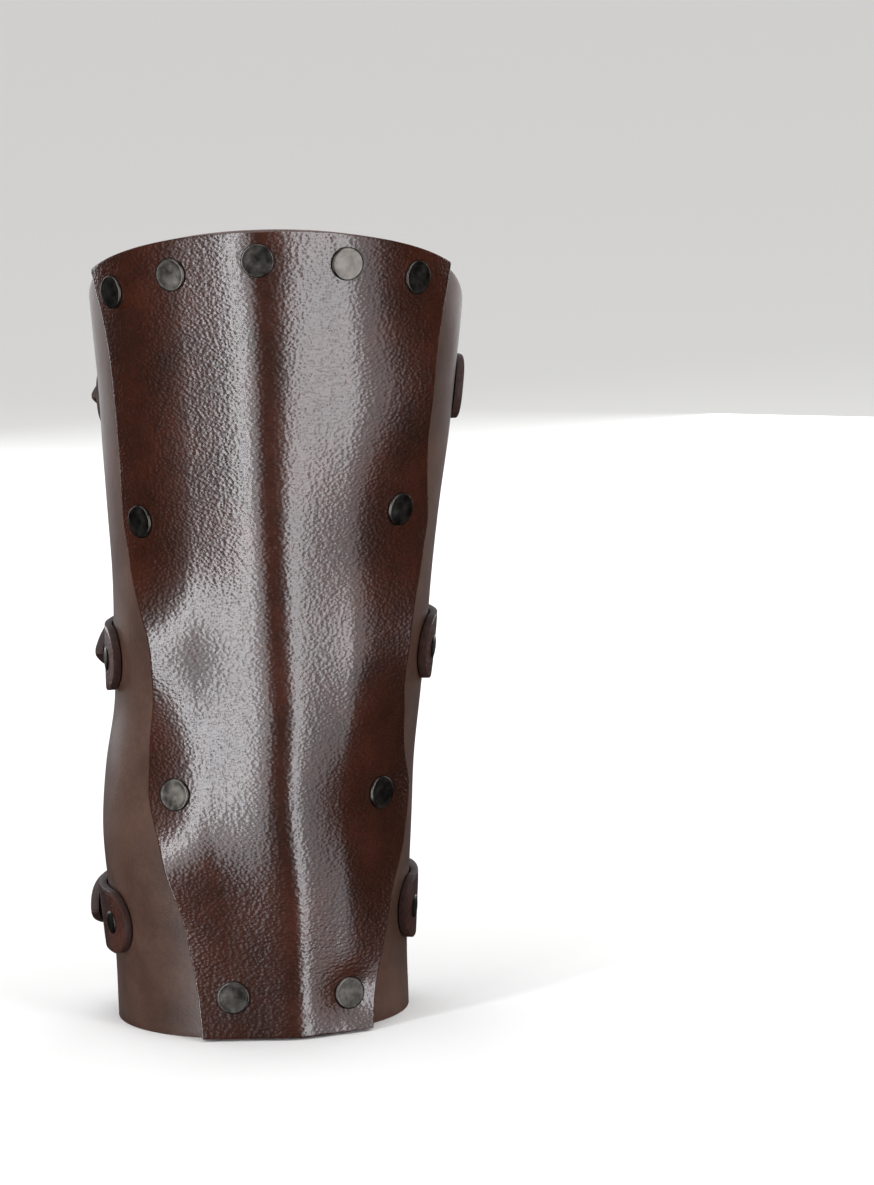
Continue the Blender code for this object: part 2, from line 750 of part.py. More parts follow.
def build_buckle(name, path, hinge):
    roller_level = TONGUE_AT_ROLLER + STRAP_WALL + GAP + ROLLER_RADIUS + STRAP_CORNER_EASE / 2
    rise = path.line + roller_level - hinge.y
    half = ROLLER_FROM_HINGE / 2
    ring = []
    for along, up in oblong(half, FRAME_HALF_HEIGHT, FRAME_CORNER):
        share = (along + half) / (2 * half)
        ring.append(Vector((hinge.x + along + half, hinge.y + rise * share, path.z + up)))
    frame = tube(f"buckle_frame_{name}", ring, [WIRE_RADIUS] * len(ring), True)
    axle = Vector((hinge.x + 2 * half, hinge.y + rise, path.z))
    long = ROLLER_HALF_LENGTH
    roller = tube_sleeve(f"roller_{name}", axle, long)
    top = hinge.y + PRONG_COLLAR_RADIUS
    over = axle.y + ROLLER_RADIUS + PRONG_RADIUS + GAP
    climb = over - top
    line = (
        (0.0, top - PRONG_RADIUS * 1.2),
        (ROLLER_FROM_HINGE * 0.126, top),
        (ROLLER_FROM_HINGE * 0.284, top + climb * 0.47),
        (ROLLER_FROM_HINGE * 0.453, top + climb * 0.84),
        (ROLLER_FROM_HINGE * 0.658, top + climb * 0.98),
        (ROLLER_FROM_HINGE, over),
        (ROLLER_FROM_HINGE + PRONG_RADIUS * 2.2, over - PRONG_RADIUS * 0.35),
    )
    points = [Vector((hinge.x + x, y, path.z)) for x, y in line]
    sizes = [PRONG_RADIUS] * (len(points) - 1) + [PRONG_RADIUS * 0.6]
    prong = tube(f"prong_{name}", points, sizes, False)
    w = PRONG_COLLAR_HALF_WIDTH
    collar = lathe(
        "collar",
        ((0, -w), (PRONG_COLLAR_RADIUS, -w), (PRONG_COLLAR_RADIUS, w), (0, w)),
        hinge,
        (0, 0, 1),
        12,
    )
    join = prong.modifiers.new("join", "BOOLEAN")
    join.operation = "UNION"
    join.solver = "EXACT"
    join.object = collar
    bpy.context.view_layer.objects.active = prong
    bpy.ops.object.modifier_apply(modifier=join.name)
    bpy.data.objects.remove(collar, do_unlink=True)
    drill(prong, [pin_cutter(hinge, (0, 0, 1), FOLD_BORE, w * 2.5, 12)])
    return frame, roller, prong


def tube_sleeve(name, axle, half_length):
    """Open-ended sleeve with a bore, lying along Z."""
    sides = 12
    profile = (
        (ROLLER_BORE, -half_length),
        (ROLLER_RADIUS * 0.93, -half_length),
        (ROLLER_RADIUS, -half_length + ROLLER_RADIUS * 0.1),
        (ROLLER_RADIUS, half_length - ROLLER_RADIUS * 0.1),
        (ROLLER_RADIUS * 0.93, half_length),
        (ROLLER_BORE, half_length),
    )
    verts, faces = [], []
    for r, h in profile:
        for k in range(sides):
            a = 2 * math.pi * k / sides
            verts.append(axle + Vector((r * math.cos(a), r * math.sin(a), h)))
    count = len(profile)
    for i in range(count):
        for k in range(sides):
            n = (k + 1) % sides
            j = (i + 1) % count
            faces.append((i * sides + k, i * sides + n, j * sides + n, j * sides + k))
    return mesh_object(name, verts, faces)


def build_keeper(name, path, skew):
    """Wire ring round the buckle strap and the tongue."""
    along = KEEPER_FROM_HINGE
    point, normal = path.at(path.angle(along), path.z, 0)
    low = -WIRE_RADIUS - GAP / 3
    high = tongue_level(along) + STRAP_WALL + 2.3 * GAP + WIRE_RADIUS
    mid, half = (low + high) / 2, (high - low) / 2
    lean = math.tan(skew * DEG)
    ring = []
    for out, up in oblong(half, KEEPER_HALF_HEIGHT, KEEPER_CORNER):
        ring.append(point + normal * (mid + out) + Vector((-lean * up, 0, up)))
    return tube(f"keeper_{name}", ring, [WIRE_RADIUS] * len(ring), True)


def principled(name, colour, metal, rough):
    material = bpy.data.materials.new(name)
    material.use_nodes = True
    shader = material.node_tree.nodes["Principled BSDF"]
    shader.inputs["Base Color"].default_value = (*colour, 1)
    shader.inputs["Metallic"].default_value = metal
    shader.inputs["Roughness"].default_value = rough
    return material


OUTER_LEATHER = principled("brown_leather", (0.085, 0.022, 0.014), 0.0, 0.38)
STRAP_LEATHER = principled("strap_leather", (0.07, 0.02, 0.013), 0.0, 0.42)
GUNMETAL = principled("gunmetal", (0.09, 0.088, 0.085), 1.0, 0.35)

shell = build_shell()
plate = build_plate()
shell_tree = tree_of(shell)
plate_tree = tree_of(plate)
leather, metal = [shell, plate], []
shell_cuts, plate_cuts = [], []
for n, (angle_deg, share, *_) in enumerate(RIVET_PLACES, 1):
    top, axis = seat(plate_tree, *rivet_frame(angle_deg, share * LENGTH), RIVET_CAP_RADIUS)
    depth = depth_below(shell_tree, top, axis, RIVET_END_RADIUS)
    metal.append(plate_rivet(f"plate_rivet_{n:02d}", top, axis, depth))
    shell_cuts.append(pin_cutter(top - axis * depth, axis, RIVET_HOLE_RADIUS, 2.6 * SHELL_WALL, 6))
    plate_cuts.append(pin_cutter(top, axis, RIVET_HOLE_RADIUS, 2.5 * PLATE_WALL, 6))
drill(plate, plate_cuts)

for name, height_share, tongue_end, buckle_end, skew in STRAPS:
    height = height_share * LENGTH
    path = StrapPath(height)
    tongue = build_tongue(name, path, tongue_end * DEG)
    short, hinge = build_buckle_strap(name, path, buckle_end * DEG)
    metal += build_buckle(name, path, hinge)
    metal.append(build_keeper(name, path, skew))
    leather += [tongue, short]
    ends = (
        ("tongue", tongue, path.along(tongue_end * DEG) + STRAP_RIVET_INSET, tongue_level),
        ("buckle", short, path.along((360 - buckle_end) * DEG) - STRAP_RIVET_INSET, lambda s: STRAP_GAP),
    )
    for side, strap, along, level in ends:
        angle = path.angle(along)
        base, normal = path.at(angle, height, level(along) + STRAP_WALL)
        axis = outward(angle if angle < math.pi else angle - 2 * math.pi, height)
        axis = (normal + Vector((0, 0, axis.z))).normalized()
        top, axis = seat(tree_of(strap), base, axis, STRAP_RIVET_CAP_RADIUS)
        depth = depth_below(shell_tree, top, axis, RIVET_END_RADIUS)
        metal.append(strap_rivet(f"strap_rivet_{name}_{side}", top, axis, depth))
        shell_cuts.append(pin_cutter(top - axis * depth, axis, RIVET_HOLE_RADIUS, 2.6 * SHELL_WALL, 6))
        drill(strap, [pin_cutter(top, axis, RIVET_HOLE_RADIUS, 2.2 * STRAP_WALL, 6)])
drill(shell, shell_cuts)

for piece in leather:
    piece.data.materials.clear()
    piece.data.materials.append(STRAP_LEATHER if "strap" in piece.name else OUTER_LEATHER)
for piece in metal:
    piece.data.materials.clear()
    piece.data.materials.append(GUNMETAL)

# The origin is under the middle of the finished bracer.
corners = [v.co for piece in leather + metal for v in piece.data.vertices]
middle_x = (min(c.x for c in corners) + max(c.x for c in corners)) / 2
middle_y = (min(c.y for c in corners) + max(c.y for c in corners)) / 2
for piece in leather + metal:
    piece.data.transform(Matrix.Translation((-middle_x, -middle_y, 0)))
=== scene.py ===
"""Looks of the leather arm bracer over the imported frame.

Shell, riveted front plate, and buckled straps with their hardware.
"""
import math

import bpy
import numpy as np
from mathutils import Matrix, Vector
from mathutils.bvhtree import BVHTree


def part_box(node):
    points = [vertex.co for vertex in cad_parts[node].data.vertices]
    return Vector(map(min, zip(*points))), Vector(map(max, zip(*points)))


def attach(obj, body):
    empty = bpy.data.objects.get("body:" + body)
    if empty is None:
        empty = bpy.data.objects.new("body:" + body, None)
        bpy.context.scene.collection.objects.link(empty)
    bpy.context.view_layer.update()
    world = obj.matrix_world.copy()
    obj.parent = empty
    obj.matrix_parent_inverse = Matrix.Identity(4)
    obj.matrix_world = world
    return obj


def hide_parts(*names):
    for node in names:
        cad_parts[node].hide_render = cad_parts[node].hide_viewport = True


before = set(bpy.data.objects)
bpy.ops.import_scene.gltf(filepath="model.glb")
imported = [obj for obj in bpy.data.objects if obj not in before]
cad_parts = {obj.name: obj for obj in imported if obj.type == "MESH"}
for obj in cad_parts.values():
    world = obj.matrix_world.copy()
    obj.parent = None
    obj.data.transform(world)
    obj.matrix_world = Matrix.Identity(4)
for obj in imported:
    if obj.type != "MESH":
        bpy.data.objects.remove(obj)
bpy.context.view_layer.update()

MM = 0.001
DEG = math.pi / 180

# Sizes and tables of the bracer, in metres and degrees; the wrist end stands on the floor.
LENGTH = 251 * MM
WRIST_RADIUS = 46 * MM
ARM_RADIUS = 59 * MM
LEAN = 12.7 * MM
SHELL_WALL = 2.6 * MM
GAP = 0.3 * MM
FLAP_REACH = 126 * DEG
FLAP_CORNER_TOP = 18 * MM
FLAP_CORNER_WRIST = 9 * MM
WRIST_EDGE_RISE = 4 * MM
WRIST_EDGE_FLAT = 92 * DEG
CROWN_ANGLE = -5 * DEG
CROWN_DROP = 14 * MM
CROWN_DROP_AT = 65 * DEG
SIDE_ANGLE = 90 * DEG
FLAP_FALL = 15 * MM
PLATE_WALL = 2.8 * MM
PLATE_LIFT = 0.8 * MM
RIB_HEIGHT = 3.6 * MM
CREST_EASE = 5.0
FLANK_RUN = 22.0
PLATE_GAP = 0.6 * MM
PIN_RADIUS = 10.5 * MM
WING_HEIGHT = 5.5 * MM
RIVET_CAP_RADIUS = 5.1 * MM
STRAP_RIVET_INSET = 9.0 * MM
STRAP_HALF_WIDTH = 10 * MM
STRAP_WALL = 2.3 * MM
STRAP_CORNER_EASE = 2.4 * MM
STRAP_GAP = 0.55 * MM
HINGE_FROM_FLAP = 45 * MM
ROLLER_FROM_HINGE = 19 * MM
KEEPER_FROM_HINGE = 13 * MM
TONGUE_PAST_HINGE = 60 * MM
TONGUE_TAPER = 24 * MM
PRONG_HOLE_BEFORE_HINGE = 8.0 * MM
HOLE_PITCH = 16.6 * MM
HOLE_RADIUS = 1.9 * MM
HOLES_BEFORE_PRONG = 2
HOLES_AFTER_PRONG = 3
WIRE_RADIUS = 1.15 * MM
FRAME_HALF_HEIGHT = 12.6 * MM
FRAME_CORNER = 3.0 * MM
ROLLER_RADIUS = 2.7 * MM
ROLLER_HALF_LENGTH = 9.6 * MM
ROLLER_BORE = 1.45 * MM
PRONG_RADIUS = 1.0 * MM
PRONG_COLLAR_RADIUS = 2.3 * MM
PRONG_COLLAR_HALF_WIDTH = 1.5 * MM
FOLD_BORE = 1.45 * MM
FOLD_WALL = 1.3 * MM
KEEPER_HALF_HEIGHT = 13.4 * MM
KEEPER_CORNER = 3.2 * MM
HINGE_LEVEL = 3.15 * MM
TONGUE_AT_ROLLER = 1.3 * MM
TONGUE_OVER_HINGE = 6.4 * MM
TONGUE_TIP_HALF_WIDTH = 0.5 * MM
PRONG_SLOT_SHIFT = 1.6 * MM
PRONG_SLOT_HALF_LENGTH = 3.4 * MM
PRONG_SLOT_RADIUS = 1.6 * MM
FOLD_SLOT_HALF_LENGTH = 4.6 * MM
FOLD_SLOT_RADIUS = 2.1 * MM
FOLD_TURN_BACK = 17 * MM
FOLD_CLOSES_OVER = 19 * MM
FOLD_SINKS_OVER = 8 * MM
STRAP_CROWN = 0.16 * MM
HOLE_DISH = 0.45 * MM
HOLE_DISH_REACH = 1.1 * MM
SHANK_RADIUS = 1.6 * MM
CLINCH_GAP = 0.15 * MM
CAP_GAP = 0.05 * MM
SHARP_EDGE = 50 * DEG

# height share | growth share | lean share | flap share
SECTIONS = (
    (0.00, 0.00, 0.00, 0.895), (0.08, 0.01, 0.00, 0.905), (0.16, 0.11, 0.00, 0.920),
    (0.24, 0.21, 0.02, 0.940), (0.32, 0.20, 0.15, 0.965), (0.40, 0.17, 0.40, 0.985),
    (0.48, 0.25, 0.53, 0.995), (0.56, 0.33, 0.64, 1.000), (0.64, 0.47, 0.73, 1.000),
    (0.72, 0.63, 0.84, 1.000), (0.80, 0.76, 0.93, 1.000), (0.88, 0.91, 0.99, 1.000),
    (0.96, 1.00, 1.00, 1.000), (1.04, 1.06, 1.00, 1.000),
)
# height share | left edge | right edge, degrees
PLATE_EDGES = (
    (0.000, -21.9, 38.9), (0.055, -23.4, 41.7), (0.110, -24.9, 44.6), (0.170, -27.2, 49.2),
    (0.235, -33.0, 59.3), (0.295, -40.4, 63.9), (0.335, -42.1, 59.3), (0.375, -42.6, 54.8),
    (0.435, -40.3, 48.8), (0.490, -40.5, 47.8), (0.540, -46.2, 50.7), (0.590, -53.4, 56.2),
    (0.625, -56.5, 59.0), (0.655, -57.7, 57.0), (0.700, -57.5, 52.8), (0.745, -57.4, 49.7),
    (0.820, -58.0, 49.5), (0.880, -60.2, 53.0), (0.950, -66.5, 60.5), (1.000, -70.0, 65.0),
)
# height share | rib angle | height share of the rib | facing of its left flank, of its right
RIB_LINE = (
    (0.00, 12.5, 0.80, -8.0, 24.0), (0.06, 12.5, 0.85, -8.0, 24.0),
    (0.18, 11.8, 1.20, -12.0, 24.0), (0.36, 5.6, 1.50, -20.0, 22.0),
    (0.55, 0.3, 1.20, -22.0, 20.0), (0.74, -3.0, 1.00, -23.0, 17.0),
    (0.92, -4.4, 0.95, -23.0, 15.0), (1.00, -5.0, 0.90, -23.5, 14.0),
)
# height share | stand-off share of the plate's left edge | of its right edge
WINGS = (
    (0.00, 0.50, 0.60), (0.07, 0.45, 0.65), (0.14, 0.60, 0.75), (0.20, 0.90, 0.50),
    (0.27, 0.35, 0.10), (0.34, 0.15, 0.00), (0.41, 0.60, 0.45), (0.48, 1.00, 0.95),
    (0.55, 0.70, 0.65), (0.62, 0.10, 0.10), (0.70, 0.00, 0.35), (0.79, 0.10, 0.75),
    (0.87, 0.05, 0.40), (0.95, 0.00, 0.00), (1.00, 0.00, 0.00),
)
# angle | height share | reach share of the dent | depth share of the dent
RIVET_PLACES = (
    (-54.3, 0.925, 0.9, 0.9), (-31.0, 0.949, 0.9, 0.35), (-5.1, 0.966, 0.8, 0.10),
    (19.9, 0.956, 0.9, 0.30), (43.3, 0.932, 0.9, 0.9), (-47.8, 0.643, 1.2, 0.95),
    (43.2, 0.648, 1.3, 0.95), (-30.3, 0.308, 1.1, 0.90), (45.9, 0.295, 1.5, 0.95),
    (-10.8, 0.055, 1.0, 0.8), (31.5, 0.051, 0.7, 0.7),
)
# name | height share | tongue end angle | buckle strap end angle | keeper skew
STRAPS = (
    ("upper", 0.775, 90.0, 104.0, 0.0),
    ("middle", 0.458, 69.0, 70.0, 5.0),
    ("lower", 0.131, 66.0, 58.0, 0.0),
)
# way past the hinge, 1 at the roller | level of the tongue's underside, 1 at the top
TONGUE_LEVELS = (
    (-2.60, 0.086), (-1.90, 0.102), (-1.00, 0.203), (-0.60, 0.453), (-0.20, 0.891),
    (0.00, 0.992), (0.15, 1.000), (0.40, 0.930), (0.80, 0.781), (1.40, 0.672),
    (2.00, 0.648), (4.50, 0.641),
)


def column(table, index, x):
    """Smooth curve through one column of a table, read at x."""
    xs = np.array([row[0] for row in table])
    ys = np.array([row[index] for row in table])
    n = np.arange(len(xs))
    low, high = np.maximum(n - 1, 0), np.minimum(n + 1, len(xs) - 1)
    slope = (ys[high] - ys[low]) / (xs[high] - xs[low])
    x = np.clip(x, xs[0], xs[-1])
    k = np.clip(np.searchsorted(xs, x, side="right") - 1, 0, len(xs) - 2)
    step = xs[k + 1] - xs[k]
    t = (x - xs[k]) / step
    return (
        ys[k] * (1 + 2 * t) * (1 - t) ** 2
        + slope[k] * step * t * (1 - t) ** 2
        + ys[k + 1] * t * t * (3 - 2 * t)
        + slope[k + 1] * step * t * t * (t - 1)
    )


def clamp(x):
    return np.clip(x, 0.0, 1.0)


def ease(t):
    t = clamp(t)
    return t * t * (3 - 2 * t)


def radius(z):
    return WRIST_RADIUS + (ARM_RADIUS - WRIST_RADIUS) * column(SECTIONS, 1, z / LENGTH)


def centre(z):
    return LEAN * column(SECTIONS, 2, z / LENGTH)


def flap(z):
    return FLAP_REACH * column(SECTIONS, 3, z / LENGTH)


def corner(q):
    return 1 - np.sqrt(1 - clamp(q) ** 2)


def crown(angle):
    """Height of the arm edge before the flap corners are rounded."""
    turn = np.abs(angle - CROWN_ANGLE)
    drop = CROWN_DROP * (np.minimum(turn, SIDE_ANGLE) / CROWN_DROP_AT) ** 2
    return LENGTH - drop - FLAP_FALL * np.maximum(turn - SIDE_ANGLE, 0) / (FLAP_REACH - SIDE_ANGLE)


def arm_edge(angle):
    top = crown(angle)
    to_flap = (flap(top) - np.abs(angle)) * radius(top)
    return top - FLAP_CORNER_TOP * corner(1 - to_flap / FLAP_CORNER_TOP)


def wrist_edge(angle):
    turn = np.abs(angle)
    rise = WRIST_EDGE_RISE * clamp((turn - WRIST_EDGE_FLAT) / (FLAP_REACH - WRIST_EDGE_FLAT)) ** 1.5
    to_flap = (flap(0) - turn) * radius(0)
    return rise + FLAP_CORNER_WRIST * corner(1 - to_flap / FLAP_CORNER_WRIST)


def on_shell(angle, z, out=0.0):
    r = radius(z) + out
    return np.stack((centre(z) + r * np.sin(angle), -r * np.cos(angle), z + 0 * angle), -1)


def rest_gap(angle_deg, z):
    """How far the plate stands off the shell: ridge, lifted edges, dents at the rivets."""
    share = z / LENGTH
    r = radius(z)
    rib = column(RIB_LINE, 1, share)
    left = angle_deg < rib
    edge = np.where(left, column(PLATE_EDGES, 1, share), column(PLATE_EDGES, 2, share))
    q = clamp((angle_deg - rib) / (edge - rib))
    # two flat flanks fall from the crest, and past their feet the plate eases down to the shell
    foot = np.abs(np.where(left, column(RIB_LINE, 3, share), column(RIB_LINE, 4, share)) - rib)
    away = np.hypot(angle_deg - rib, CREST_EASE) - CREST_EASE
    plane = (r + RIB_HEIGHT * column(RIB_LINE, 2, share)) * np.cos(foot * DEG)
    rise = np.maximum(plane / np.cos(np.maximum(foot - away, 0) * DEG) - r, 0)
    rise *= 1 - ease((away - foot) / FLANK_RUN)
    rise += WING_HEIGHT * np.where(left, column(WINGS, 1, share), column(WINGS, 2, share)) * q**2.8
    for place, height, reach, depth in RIVET_PLACES:
        across = (angle_deg - place) * DEG * r
        up = z - height * LENGTH
        rise *= 1 - depth * np.exp(-(across**2 + up**2) / (PIN_RADIUS * reach) ** 2)
    return PLATE_GAP + rise


class StrapPath:
    """Plan line of a strap that hugs both flaps and spans the opening.

    Lengths count from the hinge.
    """

    def __init__(self, height):
        self.z = height
        self.reach = flap(height)
        rows = height + STRAP_HALF_WIDTH * np.linspace(-1, 1, 5)
        self.line = float(np.max(-radius(rows) * np.cos(flap(rows))))
        self.tongue_flap_x = centre(height) + radius(height) * math.sin(self.reach)
        self.hinge_x = float(self.tongue_flap_x - HINGE_FROM_FLAP)
        self.angles = np.linspace(50 * DEG, 310 * DEG, 721)
        points = self.at(self.angles, height + 0 * self.angles, 0)
        steps = np.linalg.norm(np.diff(points, axis=0), axis=1)
        lengths = np.concatenate(([0.0], np.cumsum(steps)))
        self.lengths = lengths - np.interp(-self.hinge_x, -points[120:600, 0], lengths[120:600])

    def polar(self, angle, z):
        away = np.abs(math.pi - angle)
        near = ease(1 - np.abs(away - (math.pi - self.reach)) / (24 * DEG))
        wall = radius(z) + STRAP_CORNER_EASE / 2 * near
        span = (self.line + STRAP_CORNER_EASE / 2) / np.cos(np.minimum(away, 80 * DEG))
        flat = (wall + span - np.sqrt((wall - span) ** 2 + STRAP_CORNER_EASE**2 * near)) / 2
        return np.where(away > 80 * DEG, wall, flat)

    def spot(self, angle, z):
        own = clamp((np.abs(math.pi - angle) / DEG - 34) / 18)
        c = centre(self.z) + (centre(z) - centre(self.z)) * own
        r = self.polar(angle, z)
        return np.stack((c + r * np.sin(angle), -r * np.cos(angle), z), -1)

    def outward(self, angle, z):
        along = self.spot(angle + 0.5 * DEG, z) - self.spot(angle - 0.5 * DEG, z)
        normal = np.stack((along[..., 1], -along[..., 0], 0 * z), -1)
        return normal / np.linalg.norm(normal, axis=-1, keepdims=True)

    def at(self, angle, z, out):
        lift = np.expand_dims(np.asarray(out) + 0 * z, -1)
        return self.spot(angle, z) + self.outward(angle, z) * lift

    def angle(self, along):
        return np.interp(along, self.lengths, self.angles)

    def along(self, angle):
        return float(np.interp(angle, self.angles, self.lengths))

    def point(self, along, out):
        """Place and outward direction on the strap's middle line."""
        a, z = np.array([self.angle(along)]), np.array([self.z])
        return Vector(self.at(a, z, out)[0]), Vector(self.outward(a, z)[0])


PATHS = {name: StrapPath(share * LENGTH) for name, share, *_ in STRAPS}
ROLLER_LEVEL = TONGUE_AT_ROLLER + STRAP_WALL + GAP + ROLLER_RADIUS + STRAP_CORNER_EASE / 2
# The upper roller's place in the frame tells how far the model's origin is from the bracer's axes.
low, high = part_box("roller_upper")
axle_x = PATHS["upper"].hinge_x + ROLLER_FROM_HINGE
axle_y = PATHS["upper"].line + ROLLER_LEVEL
MIDDLE = Vector((axle_x - (low[0] + high[0]) / 2, axle_y - (low[1] + high[1]) / 2, 0))


# Modelling helpers
def deselect():
    if bpy.context.object and bpy.context.object.mode != "OBJECT":
        bpy.ops.object.mode_set(mode="OBJECT")
    bpy.ops.object.select_all(action="DESELECT")


def pick(obj):
    deselect()
    bpy.context.view_layer.objects.active = obj
    obj.select_set(True)


def named(name):
    obj = bpy.context.object
    obj.name = name
    obj.data.name = name
    return obj


def corners(obj):
    flat = np.empty(len(obj.data.vertices) * 3)
    obj.data.vertices.foreach_get("co", flat)
    return flat.reshape(-1, 3)


def move_corners(obj, points):
    obj.data.vertices.foreach_set("co", np.asarray(points).ravel())
    obj.data.update()


def grid(name, columns, rows, place):
    """Grid primitive whose corners are laid out by place(u, v), both from -1 to 1."""
    deselect()
    bpy.ops.mesh.primitive_grid_add(
        x_subdivisions=columns, y_subdivisions=rows, size=2, location=(0, 0, 0)
    )
    obj = named(name)
    at = corners(obj)
    move_corners(obj, place(at[:, 0], at[:, 1]))
    return obj


def ring(name, around, sides, place):
    """Torus primitive laid out by place(share of the turn, angle in the section)."""
    deselect()
    bpy.ops.mesh.primitive_torus_add(
        major_segments=around, minor_segments=sides,
        major_radius=1, minor_radius=0.25, location=(0, 0, 0),
    )
    obj = named(name)
    at = corners(obj)
    turn = np.arctan2(at[:, 1], at[:, 0]) % (2 * math.pi)
    tip = np.arctan2(at[:, 2], np.hypot(at[:, 0], at[:, 1]) - 1)
    move_corners(obj, place(turn / (2 * math.pi), tip))
    outward_faces(obj)
    return obj


def finish_modifier(obj, kind, **settings):
    pick(obj)
    m = obj.modifiers.new(kind.title(), kind)
    for key, value in settings.items():
        setattr(m, key, value)
    bpy.ops.object.modifier_apply(modifier=m.name)


def outward_faces(obj):
    pick(obj)
    bpy.ops.object.mode_set(mode="EDIT")
    bpy.ops.mesh.select_all(action="SELECT")
    bpy.ops.mesh.remove_doubles(threshold=0.000002)
    bpy.ops.mesh.normals_make_consistent(inside=False)
    bpy.ops.object.mode_set(mode="OBJECT")


def smooth(obj, angle=35):
    pick(obj)
    bpy.ops.object.shade_smooth_by_angle(angle=angle * DEG, keep_sharp_edges=False)


def clad(obj, *materials):
    """Gives the piece its materials; leather has three: grain face, flesh face and cut edge."""
    for m in materials:
        obj.data.materials.append(m)


def thicken(obj, wall, even=True):
    """Gives a leather sheet its wall, inwards, with the flesh face and the cut edge."""
    finish_modifier(
        obj, "SOLIDIFY", thickness=wall, offset=-1, use_even_offset=even,
        material_offset=1, material_offset_rim=2,
    )


def round_edges(obj, width):
    finish_modifier(
        obj, "BEVEL", width=width, segments=2,
        limit_method="ANGLE", angle_limit=SHARP_EDGE, material=-1,
    )


def dress(obj, slot_name, *nodes):
    """Puts the piece on its body in place of its nodes."""
    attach(obj, "root")
    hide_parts(*nodes)
    return obj


def seated(points):
    """From the bracer's own axes to the model's, whose origin is under the middle."""
    if isinstance(points, Vector):
        return points - MIDDLE
    return points - np.array(MIDDLE)


# Materials. Object coordinates are in metres, so a pattern 1 mm across has a scale of 1000.
def srgb(code):
    """Hex colour to linear RGBA."""
    values = [int(code[i : i + 2], 16) / 255 for i in (1, 3, 5)]
    return (*[v / 12.92 if v <= 0.04045 else ((v + 0.055) / 1.055) ** 2.4 for v in values], 1)


def add(tree, kind, settings=(), links=()):
    """Adds a node, sets its properties, sockets and ramp stops, and links its sockets."""
    node = tree.nodes.new(kind)
    for key, value in dict(settings).items():
        if key == "stops":
            while len(node.color_ramp.elements) < len(value):
                node.color_ramp.elements.new(0.5)
            for element, (place, colour) in zip(node.color_ramp.elements, value):
                element.position = place
                element.color = srgb(colour)
        elif isinstance(key, str) and hasattr(node, key):
            setattr(node, key, value)
        else:
            node.inputs[key].default_value = value
    for key, output in dict(links).items():
        tree.links.new(output, node.inputs[key])
    return node.outputs


def begin(name, **sockets):
    material = bpy.data.materials.new(name)
    material.use_nodes = True
    tree = material.node_tree
    shader = tree.nodes["Principled BSDF"]
    for key, value in sockets.items():
        shader.inputs[key.replace("_", " ")].default_value = value
    return material, tree, shader, add(tree, "ShaderNodeTexCoord")["Object"]


COAT_GRAIN = 0.24  # the wax fills the grain, so the gloss shows this share of its depth


def grain_leather(name, dark, mid, light, polish, haze, grain_mm, grain_depth_mm, coat):
    """Full-grain cowhide, dyed and waxed: pebbled grain, uneven dye, cloudy polish."""
    material, tree, shader, place = begin(
        name, IOR=1.5, Specular_IOR_Level=haze, Coat_Weight=coat, Coat_Roughness=0.22
    )
    hide = add(
        tree, "ShaderNodeTexNoise",
        {"Scale": 1000 / 26, "Detail": 3.0, "Roughness": 0.6}, {"Vector": place},
    )
    fine = add(tree, "ShaderNodeTexNoise", {"Scale": 1000 / 1.6, "Detail": 2.0}, {"Vector": place})
    tone = add(
        tree, "ShaderNodeMath", {"operation": "MULTIPLY_ADD", 1: 0.3}, {0: fine[0], 2: hide[0]}
    )
    stops = ((0.45, dark), (0.65, mid), (0.85, light))
    colour = add(tree, "ShaderNodeValToRGB", {"stops": stops}, {"Fac": tone[0]})
    tree.links.new(colour["Color"], shader.inputs["Base Color"])
    worn = add(tree, "ShaderNodeTexNoise", {"Scale": 1000 / 14, "Detail": 4.0}, {"Vector": place})
    rough = add(
        tree, "ShaderNodeMapRange",
        {"From Min": 0.3, "From Max": 0.7, "To Min": polish[0], "To Max": polish[1]},
        {"Value": worn[0]},
    )
    tree.links.new(rough[0], shader.inputs["Roughness"])
    # the pebbles are wider than they are high
    level = add(tree, "ShaderNodeMapping", {"Scale": (1, 1, 1.4)}, {"Vector": place})
    pebble = add(
        tree, "ShaderNodeTexVoronoi",
        {"feature": "SMOOTH_F1", "Scale": 1000 / grain_mm, "Smoothness": 0.6}, {"Vector": level[0]},
    )
    wave = add(
        tree, "ShaderNodeTexNoise",
        {"Scale": 1000 / 3.2, "Detail": 4.0, "Roughness": 0.6}, {"Vector": level[0]},
    )
    relief = add(
        tree, "ShaderNodeMath",
        {"operation": "MULTIPLY_ADD", 1: 0.7}, {0: wave[0], 2: pebble["Distance"]},
    )
    for socket, share in (("Normal", 1.0), ("Coat Normal", COAT_GRAIN)):
        bump = add(
            tree, "ShaderNodeBump",
            {"Strength": 1.0, "Distance": share * grain_depth_mm * MM}, {"Height": relief[0]},
        )
        tree.links.new(bump[0], shader.inputs[socket])
    return material


